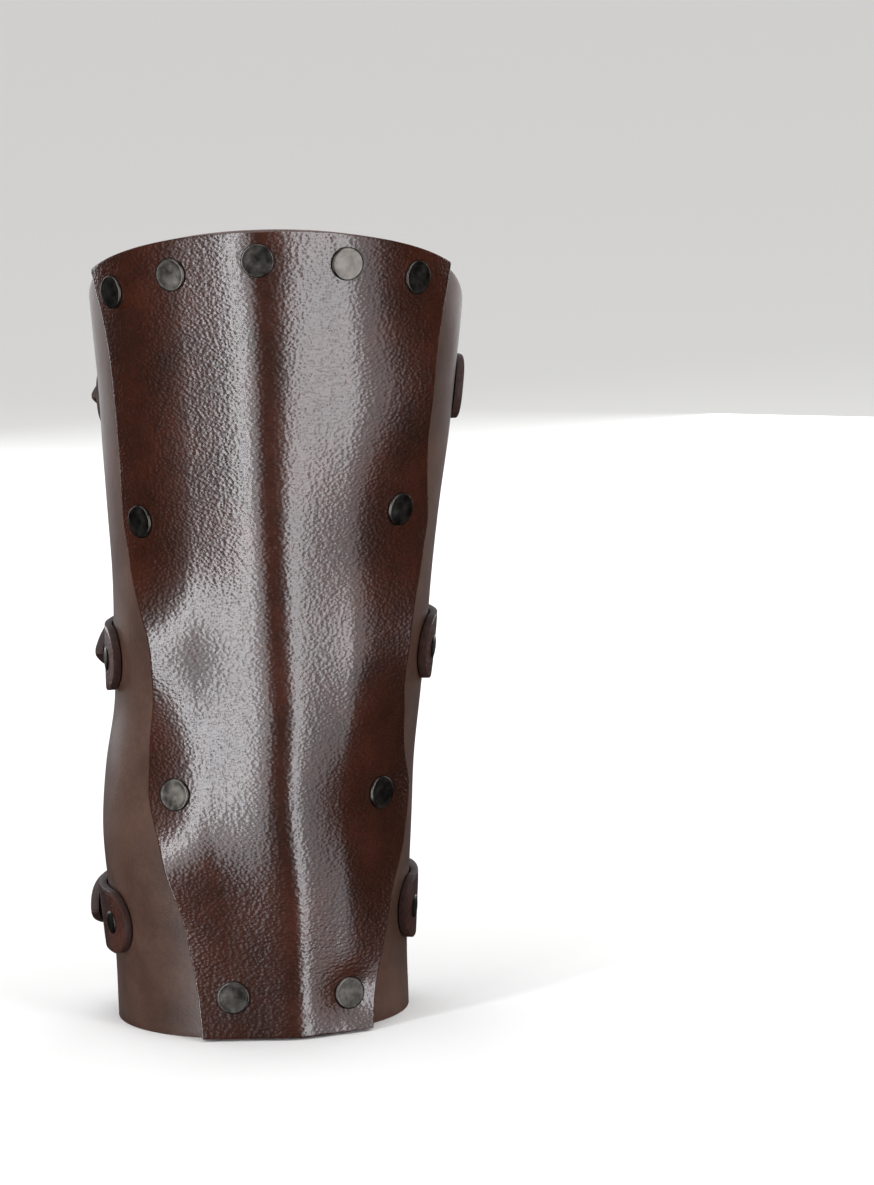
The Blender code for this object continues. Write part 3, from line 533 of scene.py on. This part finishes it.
def flesh_side():
    """Flesh side of the hide, dyed and sealed: dark brown-black with long upright creases, darkened
    along them by painted shade.
    """
    material, tree, shader, place = begin("sealed_flesh_side_leather", IOR=1.45)
    upright = add(tree, "ShaderNodeMapping", {"Scale": (1, 1, 0.16)}, {"Vector": place})
    sway = add(tree, "ShaderNodeTexNoise", {"Scale": 1000 / 16, "Detail": 3.0}, {"Vector": place})
    bent = add(
        tree, "ShaderNodeVectorMath", {"operation": "MULTIPLY_ADD", 1: (0.006, 0.006, 0.006)},
        {0: sway["Color"], 2: upright[0]},
    )
    crease = add(
        tree, "ShaderNodeTexVoronoi",
        {"feature": "DISTANCE_TO_EDGE", "Scale": 1000 / 6.5}, {"Vector": bent[0]},
    )
    line = add(
        tree, "ShaderNodeMapRange",
        {"From Min": 0.0, "From Max": 0.22}, {"Value": crease["Distance"]},
    )
    fibre = add(
        tree, "ShaderNodeTexNoise",
        {"Scale": 1000 / 2.4, "Detail": 5.0, "Roughness": 0.65}, {"Vector": upright[0]},
    )
    # the colour is darkest along the creases: painted shade in the creases, on top of their bump
    tone = add(tree, "ShaderNodeMath", {"operation": "MULTIPLY"}, {0: line[0], 1: fibre[0]})
    stops = ((0.0, "#140f0c"), (0.35, "#2a2420"), (0.62, "#453d39"))
    colour = add(tree, "ShaderNodeValToRGB", {"stops": stops}, {"Fac": tone[0]})
    tree.links.new(colour["Color"], shader.inputs["Base Color"])
    rough = add(tree, "ShaderNodeMapRange", {"To Min": 0.42, "To Max": 0.62}, {"Value": fibre[0]})
    tree.links.new(rough[0], shader.inputs["Roughness"])
    deep = add(
        tree, "ShaderNodeMath", {"operation": "MULTIPLY_ADD", 1: 0.35}, {0: fibre[0], 2: line[0]}
    )
    bump = add(tree, "ShaderNodeBump", {"Strength": 0.8, "Distance": 0.4 * MM}, {"Height": deep[0]})
    tree.links.new(bump[0], shader.inputs["Normal"])
    return material


def cut_edge(name, dark, light):
    """Knife-cut leather edge, rubbed and lightly dyed: paler and fibrous."""
    material, tree, shader, place = begin(name, IOR=1.45, Roughness=0.62)
    fibre = add(tree, "ShaderNodeTexNoise", {"Scale": 1000 / 1.1, "Detail": 4.0}, {"Vector": place})
    stops = ((0.3, dark), (0.7, light))
    colour = add(tree, "ShaderNodeValToRGB", {"stops": stops}, {"Fac": fibre[0]})
    tree.links.new(colour["Color"], shader.inputs["Base Color"])
    bump = add(
        tree, "ShaderNodeBump", {"Strength": 0.5, "Distance": 0.12 * MM}, {"Height": fibre[0]}
    )
    tree.links.new(bump[0], shader.inputs["Normal"])
    return material


def plated_steel(name, dark, bright, polish, patch_mm):
    """Black-nickel plated steel, tumbled: dark with cloudy paler patches and fine scuffs."""
    material, tree, shader, place = begin(name, Metallic=1.0)
    cloud = add(
        tree, "ShaderNodeTexNoise",
        {"Scale": 1000 / patch_mm, "Detail": 5.0, "Roughness": 0.6}, {"Vector": place},
    )
    stops = ((0.38, dark), (0.68, bright))
    colour = add(tree, "ShaderNodeValToRGB", {"stops": stops}, {"Fac": cloud[0]})
    tree.links.new(colour["Color"], shader.inputs["Base Color"])
    rough = add(
        tree, "ShaderNodeMapRange",
        {"From Min": 0.3, "From Max": 0.7, "To Min": polish[0], "To Max": polish[1]},
        {"Value": cloud[0]},
    )
    tree.links.new(rough[0], shader.inputs["Roughness"])
    scuff = add(tree, "ShaderNodeTexNoise", {"Scale": 1000 / 0.4, "Detail": 3.0}, {"Vector": place})
    bump = add(
        tree, "ShaderNodeBump", {"Strength": 0.25, "Distance": 0.03 * MM}, {"Height": scuff[0]}
    )
    tree.links.new(bump[0], shader.inputs["Normal"])
    return material


PLATE_LEATHER = grain_leather(
    "waxed_grain_leather", "#1f0b04", "#2a1006", "#35160a", (0.36, 0.44), 0.12, 1.2, 0.30, 1.0
)
# the shell's browns are greyed: its own reddish brown with a painted grey sheen mixed in, standing
# in for its gloss at grazing angles
SHELL_LEATHER = grain_leather(
    "smooth_leather_with_painted_sheen", "#36231a", "#422c22", "#4e372c", (0.46, 0.56), 0.5, 0.9, 0.05, 0.15
)
STRAP_LEATHER = grain_leather(
    "strap_grain_leather", "#2a130d", "#391d15", "#4a2b22", (0.36, 0.46), 0.4, 1.2, 0.16, 0.6
)
FLESH_SIDE = flesh_side()
PLATE_EDGE = cut_edge("dyed_cut_edge", "#3a2420", "#5c423c")
SHELL_EDGE = cut_edge("pale_cut_edge", "#54423e", "#76635e")
# the strap's cut edges are darker than the other cut edges: painted shade, standing in for the
# shade on the strap ends
STRAP_EDGE = cut_edge("shade_darkened_cut_edge", "#22110d", "#3a211b")
WIRE_STEEL = plated_steel("black_nickel_wire", "#4a4744", "#7d7973", (0.26, 0.38), 3.0)
CAP_STEEL = plated_steel("black_nickel_cap", "#3c3936", "#615d58", (0.28, 0.42), 3.2)


# Leather shell and front plate
def build_shell():
    def place(u, v):
        # columns crowd towards the flaps
        a = np.sin(math.pi / 2 * u) * 0.45 + u * 0.55
        angle = a * FLAP_REACH
        share = (v + 1) / 2
        for _ in range(6):
            low, high = wrist_edge(angle), arm_edge(angle)
            z = low + (high - low) * share
            angle = a * flap(z)
        return seated(on_shell(angle, z))

    shell = grid("leather_shell", 150, 110, place)
    clad(shell, SHELL_LEATHER, FLESH_SIDE, SHELL_EDGE)
    thicken(shell, SHELL_WALL)
    round_edges(shell, 0.4 * MM)
    smooth(shell)
    return dress(shell, "shell_leather", "shell")


def build_plate():
    def place(u, v):
        # columns crowd towards both edges
        t = np.sin(math.pi / 2 * u) * 0.2 + u * 0.8
        share = (v + 1) / 2
        left, right = column(PLATE_EDGES, 1, share), column(PLATE_EDGES, 2, share)
        for _ in range(5):
            angle = left + (right - left) * (t + 1) / 2
            z = PLATE_LIFT + (arm_edge(angle * DEG) - PLATE_LIFT) * share
            left = column(PLATE_EDGES, 1, z / LENGTH)
            right = column(PLATE_EDGES, 2, z / LENGTH)
        return seated(on_shell(angle * DEG, z, rest_gap(angle, z) + PLATE_WALL))

    plate = grid("ribbed_front_plate", 130, 220, place)
    clad(plate, PLATE_LEATHER, FLESH_SIDE, PLATE_EDGE)
    thicken(plate, PLATE_WALL - 0.1 * MM)
    round_edges(plate, 0.45 * MM)
    smooth(plate)
    return dress(plate, "plate_leather", "front_plate")


def tree_of(obj):
    places = [v.co.copy() for v in obj.data.vertices]
    return BVHTree.FromPolygons(places, [tuple(f.vertices) for f in obj.data.polygons])


def seat(tree, point, axis, r):
    """Place and tilt of a flat disc of radius r resting on a surface."""
    for _ in range(3):
        side = axis.orthogonal().normalized()
        across = axis.cross(side)
        hits = []
        for k in range(16):
            a = 2 * math.pi * k / 16
            above = point + axis * r * 3 + (side * math.cos(a) + across * math.sin(a)) * r
            hit = tree.ray_cast(above, -axis)[0]
            hits.append(hit if hit is not None else above - axis * r * 3)
        middle = sum(hits, Vector()) / len(hits)
        tilt = Vector()
        for k in range(16):
            tilt += (hits[k] - middle).cross(hits[(k + 4) % 16] - middle)
        axis = tilt.normalized()
    high = sum((h - point).dot(axis) for h in hits) / len(hits)
    return point + axis * high, axis


def depth_below(tree, point, axis):
    hit = tree.ray_cast(point - axis * 20 * MM, axis)[0]
    return (point - hit).dot(axis)


def turned(name, profile, sides):
    """Round piece extruded and scaled from a disc along a profile of (radius, height)."""
    deselect()
    first, base = profile[0]
    bpy.ops.mesh.primitive_circle_add(
        vertices=sides, radius=first, fill_type="NGON", location=(0, 0, base)
    )
    obj = named(name)
    bpy.ops.object.transform_apply(location=True, rotation=False, scale=False)
    bpy.ops.object.mode_set(mode="EDIT")
    bpy.ops.mesh.select_all(action="SELECT")
    r, h = first, base
    for new_r, new_h in profile[1:]:
        bpy.ops.mesh.extrude_region_move(TRANSFORM_OT_translate={"value": (0, 0, new_h - h)})
        k = new_r / r
        bpy.ops.transform.resize(value=(k, k, 1), center_override=(0, 0, new_h))
        r, h = new_r, new_h
    bpy.ops.mesh.select_all(action="SELECT")
    bpy.ops.mesh.normals_make_consistent(inside=False)
    bpy.ops.object.mode_set(mode="OBJECT")
    return obj


def stand(piece, point, axis):
    """Moves a piece made at the origin, facing up, to its place in the mesh itself."""
    turn = axis.to_track_quat("Z", "Y").to_matrix().to_4x4()
    piece.data.transform(Matrix.Translation(point) @ turn)


# cap radius | radius of its seat | sides | rolled end inside, radius and height in mm
# | cap with a turned-down rim, radius share and height in mm
FLAT_RIVET = (
    RIVET_CAP_RADIUS, 4.6 * MM, 40,
    (
        (1.45, 1.4), (1.45, -0.45), (1.6, -0.85), (1.95, -1.1), (2.4, -1.1), (2.95, -0.8),
        (3.3, -0.35), (3.4, 0.0), (1.6, 0.05),
    ),
    (
        (0.95, 0.05), (0.99, 0.12), (1.0, 0.3), (1.0, 0.62), (0.988, 0.84), (0.96, 0.99),
        (0.925, 1.06), (0.885, 1.08), (0.84, 1.07), (0.78, 1.06), (0.6, 1.1), (0.38, 1.14),
        (0.18, 1.16), (0.06, 1.165),
    ),
)
LOW_RIVET = (
    3.6 * MM, 3.2 * MM, 32,
    ((1.2, -0.9), (2.4, -0.85), (3.0, -0.6), (3.2, -0.3), (3.2, 0.0), (1.6, 0.05)),
    ((0.95, 0.05), (1.0, 0.2), (0.96, 0.36), (0.8, 0.5), (0.5, 0.56), (0.15, 0.58)),
)


def set_rivet(name, node, kind, outer_tree, inner_tree, point, axis):
    """Rivet seated on the outer leather and rolled over inside the inner one."""
    cap_radius, seat_radius, sides, rolled, cap = kind
    top, axis = seat(outer_tree, point, axis, seat_radius)
    inner = -depth_below(inner_tree, top, axis) - CLINCH_GAP
    ends = tuple((r * MM, inner + h * MM) for r, h in rolled)
    caps = tuple((cap_radius * r, h * MM) for r, h in cap)
    piece = turned(name, ends + ((SHANK_RADIUS, CAP_GAP),) + caps, sides)
    stand(piece, top, axis)
    smooth(piece, 40)
    clad(piece, CAP_STEEL)
    dress(piece, "gunmetal", node)


def build_plate_rivets(plate, shell):
    plate_tree, shell_tree = tree_of(plate), tree_of(shell)
    for n, (angle_deg, share, *_) in enumerate(RIVET_PLACES, 1):
        z = share * LENGTH
        angle = angle_deg * DEG
        point = Vector(seated(on_shell(angle, z, GAP + PLATE_WALL)))
        axis = Vector((math.sin(angle), -math.cos(angle), -0.05)).normalized()
        names = f"domed_rivet_{n:02d}", f"plate_rivet_{n:02d}"
        set_rivet(*names, FLAT_RIVET, plate_tree, shell_tree, point, axis)


# Straps
def tongue_level(s):
    return column(TONGUE_LEVELS, 1, s / ROLLER_FROM_HINGE) * TONGUE_OVER_HINGE


def rounded(s, end):
    q = clamp(np.abs(s - end) / STRAP_HALF_WIDTH)
    return STRAP_HALF_WIDTH * np.sqrt(1 - (1 - q) ** 2)


def punch(strap, holes, reach):
    """Cuts round or oblong holes: (along, half length of a slot, radius)."""
    for along, half, r in holes:
        deselect()
        bpy.ops.mesh.primitive_cylinder_add(
            vertices=28, radius=r, depth=reach * 2, location=(0, 0, 0)
        )
        cutter = named("punch")
        clad(cutter, *strap.data.materials)
        cutter.data.polygons.foreach_set("material_index", [2] * len(cutter.data.polygons))
        at = corners(cutter)
        at[:, 0] += along + half * np.sign(np.round(at[:, 0], 7))
        move_corners(cutter, at)
        finish_modifier(strap, "BOOLEAN", operation="DIFFERENCE", solver="EXACT", object=cutter)
        bpy.data.objects.remove(cutter, do_unlink=True)


def flat_strap(name, first, last, half_width, columns, holes, wall):
    """Strap laid flat: X along, Y across, Z through, its holes punched and its edges rounded."""

    def place(u, v):
        # stations crowd towards both shaped ends
        q = (u + 1) / 2
        q = q - 0.06 * np.sin(2 * math.pi * q)
        s = first + (last - first) * q
        return np.stack((s, v * np.maximum(half_width(s), 0.25 * MM), wall + 0 * s), -1)

    strap = grid(name, columns, 14, place)
    clad(strap, STRAP_LEATHER, FLESH_SIDE, STRAP_EDGE)
    thicken(strap, wall, even=False)
    punch(strap, holes, wall * 2)
    round_edges(strap, 0.38 * MM)
    # the grain face is slightly crowned across, and dished round the holes
    at = corners(strap)
    top = at[:, 2] > wall * 0.7
    lift = np.where(top, STRAP_CROWN * (1 - clamp(np.abs(at[:, 1]) / STRAP_HALF_WIDTH) ** 4), 0)
    for along, half, r in holes:
        d = np.hypot(np.maximum(0, np.abs(at[:, 0] - along) - half), at[:, 1])
        lift -= np.where(top, HOLE_DISH * clamp(1 - (d - r) / HOLE_DISH_REACH) ** 2, 0)
    at[:, 2] += lift
    move_corners(strap, at)
    return strap


def build_tongue(name, path, fixed_end):
    start = path.along(fixed_end * DEG)
    end = TONGUE_PAST_HINGE

    def half_width(s):
        t = clamp((end - s) / TONGUE_TAPER)
        tip = TONGUE_TIP_HALF_WIDTH + (STRAP_HALF_WIDTH - TONGUE_TIP_HALF_WIDTH) * t**0.8
        return np.where(s > end - TONGUE_TAPER, tip, rounded(s, start))

    holes = []
    for k in range(-HOLES_BEFORE_PRONG, HOLES_AFTER_PRONG + 1):
        s = -PRONG_HOLE_BEFORE_HINGE + k * HOLE_PITCH
        if k != 0 and s >= start + STRAP_RIVET_INSET + HOLE_PITCH / 2:
            holes.append((s, 0.0, HOLE_RADIUS))
    # the hole in use is drawn out by the prong
    used = -PRONG_HOLE_BEFORE_HINGE + PRONG_SLOT_SHIFT
    holes.append((used, PRONG_SLOT_HALF_LENGTH, PRONG_SLOT_RADIUS))
    strap = flat_strap(f"tongue_{name}", start, end, half_width, 210, holes, STRAP_WALL)
    s, across, deep = corners(strap).T
    move_corners(strap, seated(path.at(path.angle(s), path.z + across, tongue_level(s) + deep)))
    smooth(strap)
    return dress(strap, "strap_leather", f"tongue_strap_{name}")


def build_buckle_strap(name, path, far_end):
    """Short strap: flat on the flap, folded round the hinge bar, turned back under itself."""
    end = path.along((360 - far_end) * DEG)
    turn_radius = FOLD_BORE + FOLD_WALL / 2
    bar = STRAP_CORNER_EASE / 2 + HINGE_LEVEL
    bend_length = math.pi * turn_radius
    start = -(bend_length + FOLD_TURN_BACK)
    slot = (-bend_length / 2, FOLD_SLOT_HALF_LENGTH, FOLD_SLOT_RADIUS)
    strap = flat_strap(
        f"buckle_end_{name}", start, end, lambda s: rounded(s, end), 150, [slot], STRAP_WALL
    )
    s, across, deep = corners(strap).T
    share = deep / STRAP_WALL
    # over the flap the two layers close up to one
    q = ease(s / FOLD_CLOSES_OVER * 1.5 - 0.5)
    high = bar - STRAP_CORNER_EASE / 2 + turn_radius - FOLD_WALL / 2
    level = high + (STRAP_GAP - high) * q + share * (FOLD_WALL + (STRAP_WALL - FOLD_WALL) * q)
    upper = path.at(path.angle(np.maximum(s, 0)), path.z + across, level)
    # round the bar and back
    bend = np.minimum(1, np.maximum(-s, 0) / bend_length) * math.pi
    r = turn_radius + (share - 0.5) * FOLD_WALL
    past = np.maximum(0, -s - bend_length)
    sink = STRAP_GAP + FOLD_WALL / 2 + STRAP_CORNER_EASE / 2 - (bar - turn_radius)
    folded = np.stack(
        (
            path.hinge_x + np.sin(bend) * r - past,
            path.line + bar + np.cos(bend) * r + sink * clamp(past / FOLD_SINKS_OVER),
            path.z + across,
        ),
        -1,
    )
    move_corners(strap, seated(np.where((s >= 0)[:, None], upper, folded)))
    smooth(strap)
    return dress(strap, "strap_leather", f"buckle_strap_{name}")


def build_strap_rivet(name, side, strap, path, along, level, shell):
    base, normal = path.point(along, level + STRAP_WALL)
    names = f"low_rivet_{name}_{side}", f"strap_rivet_{name}_{side}"
    set_rivet(*names, LOW_RIVET, tree_of(strap), tree_of(shell), seated(base), normal)


# Buckles and keepers
def wire_loop(name, half_long, half_high, bend, origin, along, up, thickness):
    """Bent wire closed into a rounded rectangle."""
    out = along.cross(up).normalized()
    a, b, quarter = half_long - bend, half_high - bend, math.pi / 2 * bend
    stops = np.cumsum([0, b, quarter, 2 * a, quarter, 2 * b, quarter, 2 * a, quarter, b])
    facings = np.array([0, 0, 1, 1, 2, 2, 3, 3, 4, 4]) * math.pi / 2
    ends = np.array([
        (half_long, 0), (half_long, b), (a, half_high), (-a, half_high), (-half_long, b),
        (-half_long, -b), (-a, -half_high), (a, -half_high), (half_long, -b), (half_long, 0),
    ])

    def place(turn, tip):
        s = turn * stops[-1]
        face = np.interp(s, stops, facings)
        x, y = np.interp(s, stops, ends[:, 0]), np.interp(s, stops, ends[:, 1])
        k = np.clip(np.searchsorted(stops, s, side="right") - 1, 0, len(stops) - 2)
        bent = k % 2 == 1
        sign = np.array([(1, 1), (-1, 1), (-1, -1), (1, -1), (1, 1)])[np.minimum(k // 2, 4)]
        x = np.where(bent, sign[:, 0] * a + bend * np.cos(face), x)
        y = np.where(bent, sign[:, 1] * b + bend * np.sin(face), y)
        side = np.outer(np.cos(face), along) + np.outer(np.sin(face), up)
        middle = np.array(origin) + np.outer(x, along) + np.outer(y, up)
        return middle + (side * np.cos(tip)[:, None] + np.outer(np.sin(tip), out)) * thickness

    loop = ring(name, 120, 14, place)
    smooth(loop, 60)
    return loop


def sleeve(name, middle, bore, outer, half_length, square, around, sides):
    """Round sleeve along Z with a bore and softened ends."""

    def place(turn, tip):
        c, s = np.cos(tip), np.sin(tip)
        k = (np.abs(c) ** square + np.abs(s) ** square) ** (-1 / square)
        r = (outer + bore) / 2 + (outer - bore) / 2 * c * k
        a = 2 * math.pi * turn
        return np.array(middle) + np.stack((r * np.cos(a), r * np.sin(a), half_length * s * k), -1)

    return ring(name, around, sides, place)


def build_buckle(name, path):
    hinge = Vector((path.hinge_x, path.line + STRAP_CORNER_EASE / 2 + HINGE_LEVEL, path.z))
    axle = Vector((path.hinge_x + ROLLER_FROM_HINGE, path.line + ROLLER_LEVEL, path.z))
    along = (axle - hinge).normalized()
    wire = wire_loop(
        f"buckle_wire_{name}", (axle - hinge).length / 2, FRAME_HALF_HEIGHT, FRAME_CORNER,
        seated((hinge + axle) / 2), along, Vector((0, 0, 1)), WIRE_RADIUS,
    )
    clad(wire, WIRE_STEEL)
    dress(wire, "gunmetal", f"buckle_frame_{name}")

    roller = sleeve(
        f"roller_sleeve_{name}", seated(axle),
        ROLLER_BORE, ROLLER_RADIUS, ROLLER_HALF_LENGTH, 7, 40, 32,
    )
    smooth(roller, 40)
    clad(roller, WIRE_STEEL)
    dress(roller, "gunmetal", f"roller_{name}")

    top = hinge.y + PRONG_COLLAR_RADIUS
    over = axle.y + ROLLER_RADIUS + PRONG_RADIUS + 0.1 * MM
    climb = over - top
    reach = ROLLER_FROM_HINGE
    # the prong starts in its collar, climbs, and lies over the roller with its tip past it
    line = [
        (reach * -0.03, top - PRONG_RADIUS * 1.2),
        (reach * 0.126, top),
        (reach * 0.284, top + climb * 0.47),
        (reach * 0.453, top + climb * 0.84),
        (reach * 0.658, top + climb * 0.98),
        (reach, over),
        (reach + PRONG_RADIUS * 2.2, over - PRONG_RADIUS * 0.35),
    ]
    steps = [0.0]
    for p, q in zip(line, line[1:]):
        steps.append(steps[-1] + math.dist(p, q))
    table = [(d, x, y) for d, (x, y) in zip(steps, line)]
    total = steps[-1]

    def on_prong(s):
        return np.stack((hinge.x + column(table, 1, s), column(table, 2, s), path.z + 0 * s), -1)

    deselect()
    bpy.ops.mesh.primitive_uv_sphere_add(segments=16, ring_count=48, radius=1, location=(0, 0, 0))
    prong = named(f"prong_wire_{name}")
    at = corners(prong)
    turn = np.arctan2(at[:, 1], at[:, 0])
    q = np.arccos(np.clip(at[:, 2], -1, 1)) / math.pi
    s = total * q
    tip = clamp(np.minimum(s, total - s) / PRONG_RADIUS)
    r = PRONG_RADIUS * np.sqrt(1 - (1 - tip) ** 2) * (1 - 0.25 * clamp((q - 0.8) * 5))
    ahead = on_prong(s + 0.1 * MM) - on_prong(s - 0.1 * MM)
    ahead /= np.linalg.norm(ahead, axis=1, keepdims=True)
    side = np.array((0.0, 0.0, 1.0))
    around = side * np.cos(turn)[:, None] + np.cross(ahead, side) * np.sin(turn)[:, None]
    move_corners(prong, seated(on_prong(s) + around * r[:, None]))
    outward_faces(prong)
    collar = sleeve(
        "collar", seated(hinge), FOLD_BORE, PRONG_COLLAR_RADIUS, PRONG_COLLAR_HALF_WIDTH, 4, 32, 12
    )
    pick(prong)
    collar.select_set(True)
    bpy.ops.object.join()
    smooth(prong, 50)
    clad(prong, WIRE_STEEL)
    dress(prong, "gunmetal", f"prong_{name}")


def build_keeper(name, path, skew):
    along = KEEPER_FROM_HINGE
    point, normal = path.point(along, 0)
    low = -WIRE_RADIUS - GAP / 3
    high = float(tongue_level(along)) + STRAP_WALL + 2.3 * GAP + WIRE_RADIUS
    keeper = wire_loop(
        f"keeper_wire_{name}", (high - low) / 2, KEEPER_HALF_HEIGHT, KEEPER_CORNER,
        seated(point + normal * (low + high) / 2), normal,
        Vector((-math.tan(skew * DEG), 0, 1)), WIRE_RADIUS,
    )
    clad(keeper, WIRE_STEEL)
    dress(keeper, "gunmetal", f"keeper_{name}")


shell = build_shell()
plate = build_plate()
build_plate_rivets(plate, shell)
for name, share, tongue_end, buckle_end, skew in STRAPS:
    path = PATHS[name]
    tongue = build_tongue(name, path, tongue_end)
    short = build_buckle_strap(name, path, buckle_end)
    s = path.along(tongue_end * DEG) + STRAP_RIVET_INSET
    build_strap_rivet(name, "tongue", tongue, path, s, float(tongue_level(s)), shell)
    s = path.along((360 - buckle_end) * DEG) - STRAP_RIVET_INSET
    build_strap_rivet(name, "buckle", short, path, s, STRAP_GAP, shell)
    build_buckle(name, path)
    build_keeper(name, path, skew)


# Floor, lights, camera
LIT_POINT = Vector((0, 0, 0.13))
SOFTBOX_COLOUR = (0.95, 0.965, 1.0)
ROOM_GLOW = 0.015
BACKDROP_GLOW = 0.9

deselect()
bpy.ops.mesh.primitive_plane_add(size=40, location=(0, 0, -0.05 * MM))
floor = named("studio_floor")
floor_paint, _, shader, _ = begin("white_floor", Roughness=0.9)
shader.inputs["Base Color"].default_value = srgb("#f2f1ef")
clad(floor, floor_paint)
floor.visible_glossy = False
floor.visible_shadow = False


def softbox(name, azimuth, elevation, distance, wide, tall, power):
    """Rectangular soft light aimed at the bracer; azimuth 0 is the camera's side."""
    light = bpy.data.lights.new(name, "AREA")
    light.shape = "RECTANGLE"
    light.size, light.size_y, light.energy = wide, tall, power
    light.color = SOFTBOX_COLOUR
    lamp = bpy.data.objects.new(name, light)
    bpy.context.scene.collection.objects.link(lamp)
    a, e = azimuth * DEG, elevation * DEG
    away = Vector((math.sin(a) * math.cos(e), -math.cos(a) * math.cos(e), math.sin(e)))
    lamp.location = LIT_POINT + away * distance
    lamp.rotation_euler = away.to_track_quat("Z", "Y").to_euler()


softbox("left_softbox", -44, 3, 1.3, 0.16, 1.8, 18)
softbox("left_inner_softbox", -31, 3, 1.3, 0.14, 1.8, 4)
softbox("right_softbox", 37, 3, 1.3, 0.24, 1.8, 16)
softbox("right_fill", 54, 3, 1.3, 0.24, 1.8, 3)
softbox("left_back_softbox", -150, 16, 1.5, 1.2, 1.2, 9)
softbox("right_back_softbox", 150, 16, 1.5, 1.2, 1.2, 9)

ceiling = bpy.data.lights.new("ceiling", "SUN")
ceiling.energy, ceiling.angle = 2.3, 60 * DEG
bpy.context.scene.collection.objects.link(bpy.data.objects.new("ceiling", ceiling))

# The backdrop is pale, and the room around it dim, so that the gloss shows the softboxes.
world = bpy.data.worlds.new("studio")
bpy.context.scene.world = world
world.use_nodes = True
sky = world.node_tree
back = sky.nodes["Background"]
back.inputs["Color"].default_value = srgb("#ffffff")
seen = add(sky, "ShaderNodeLightPath")["Is Camera Ray"]
glow = add(
    sky, "ShaderNodeMapRange", {"To Min": ROOM_GLOW, "To Max": BACKDROP_GLOW}, {"Value": seen}
)
sky.links.new(glow[0], back.inputs["Strength"])

camera_data = bpy.data.cameras.new("camera")
camera = bpy.data.objects.new("camera", camera_data)
bpy.context.scene.collection.objects.link(camera)
bpy.context.scene.camera = camera
# Standing 1.8 m off, 12 degrees above the wrist end, with the slight turn of the picture.
CAMERA_Y, CAMERA_Z = -1.76001, 0.377313
FORWARD = Vector((0.03347218, 0.98976194, -0.13874769))
RIGHT = Vector((0.99865616, -0.03861796, -0.03456194))
UP = Vector((0.03956625, 0.13740437, 0.98972448))
camera.matrix_world = Matrix(
    (
        (RIGHT.x, UP.x, -FORWARD.x, -MIDDLE.x),
        (RIGHT.y, UP.y, -FORWARD.y, CAMERA_Y - MIDDLE.y),
        (RIGHT.z, UP.z, -FORWARD.z, CAMERA_Z),
        (0, 0, 0, 1),
    )
)
camera_data.sensor_fit = "AUTO"
camera_data.sensor_width = 36
camera_data.lens = 171.69
camera_data.clip_start, camera_data.clip_end = 0.1, 100
bpy.context.scene.view_settings.view_transform = "Standard"
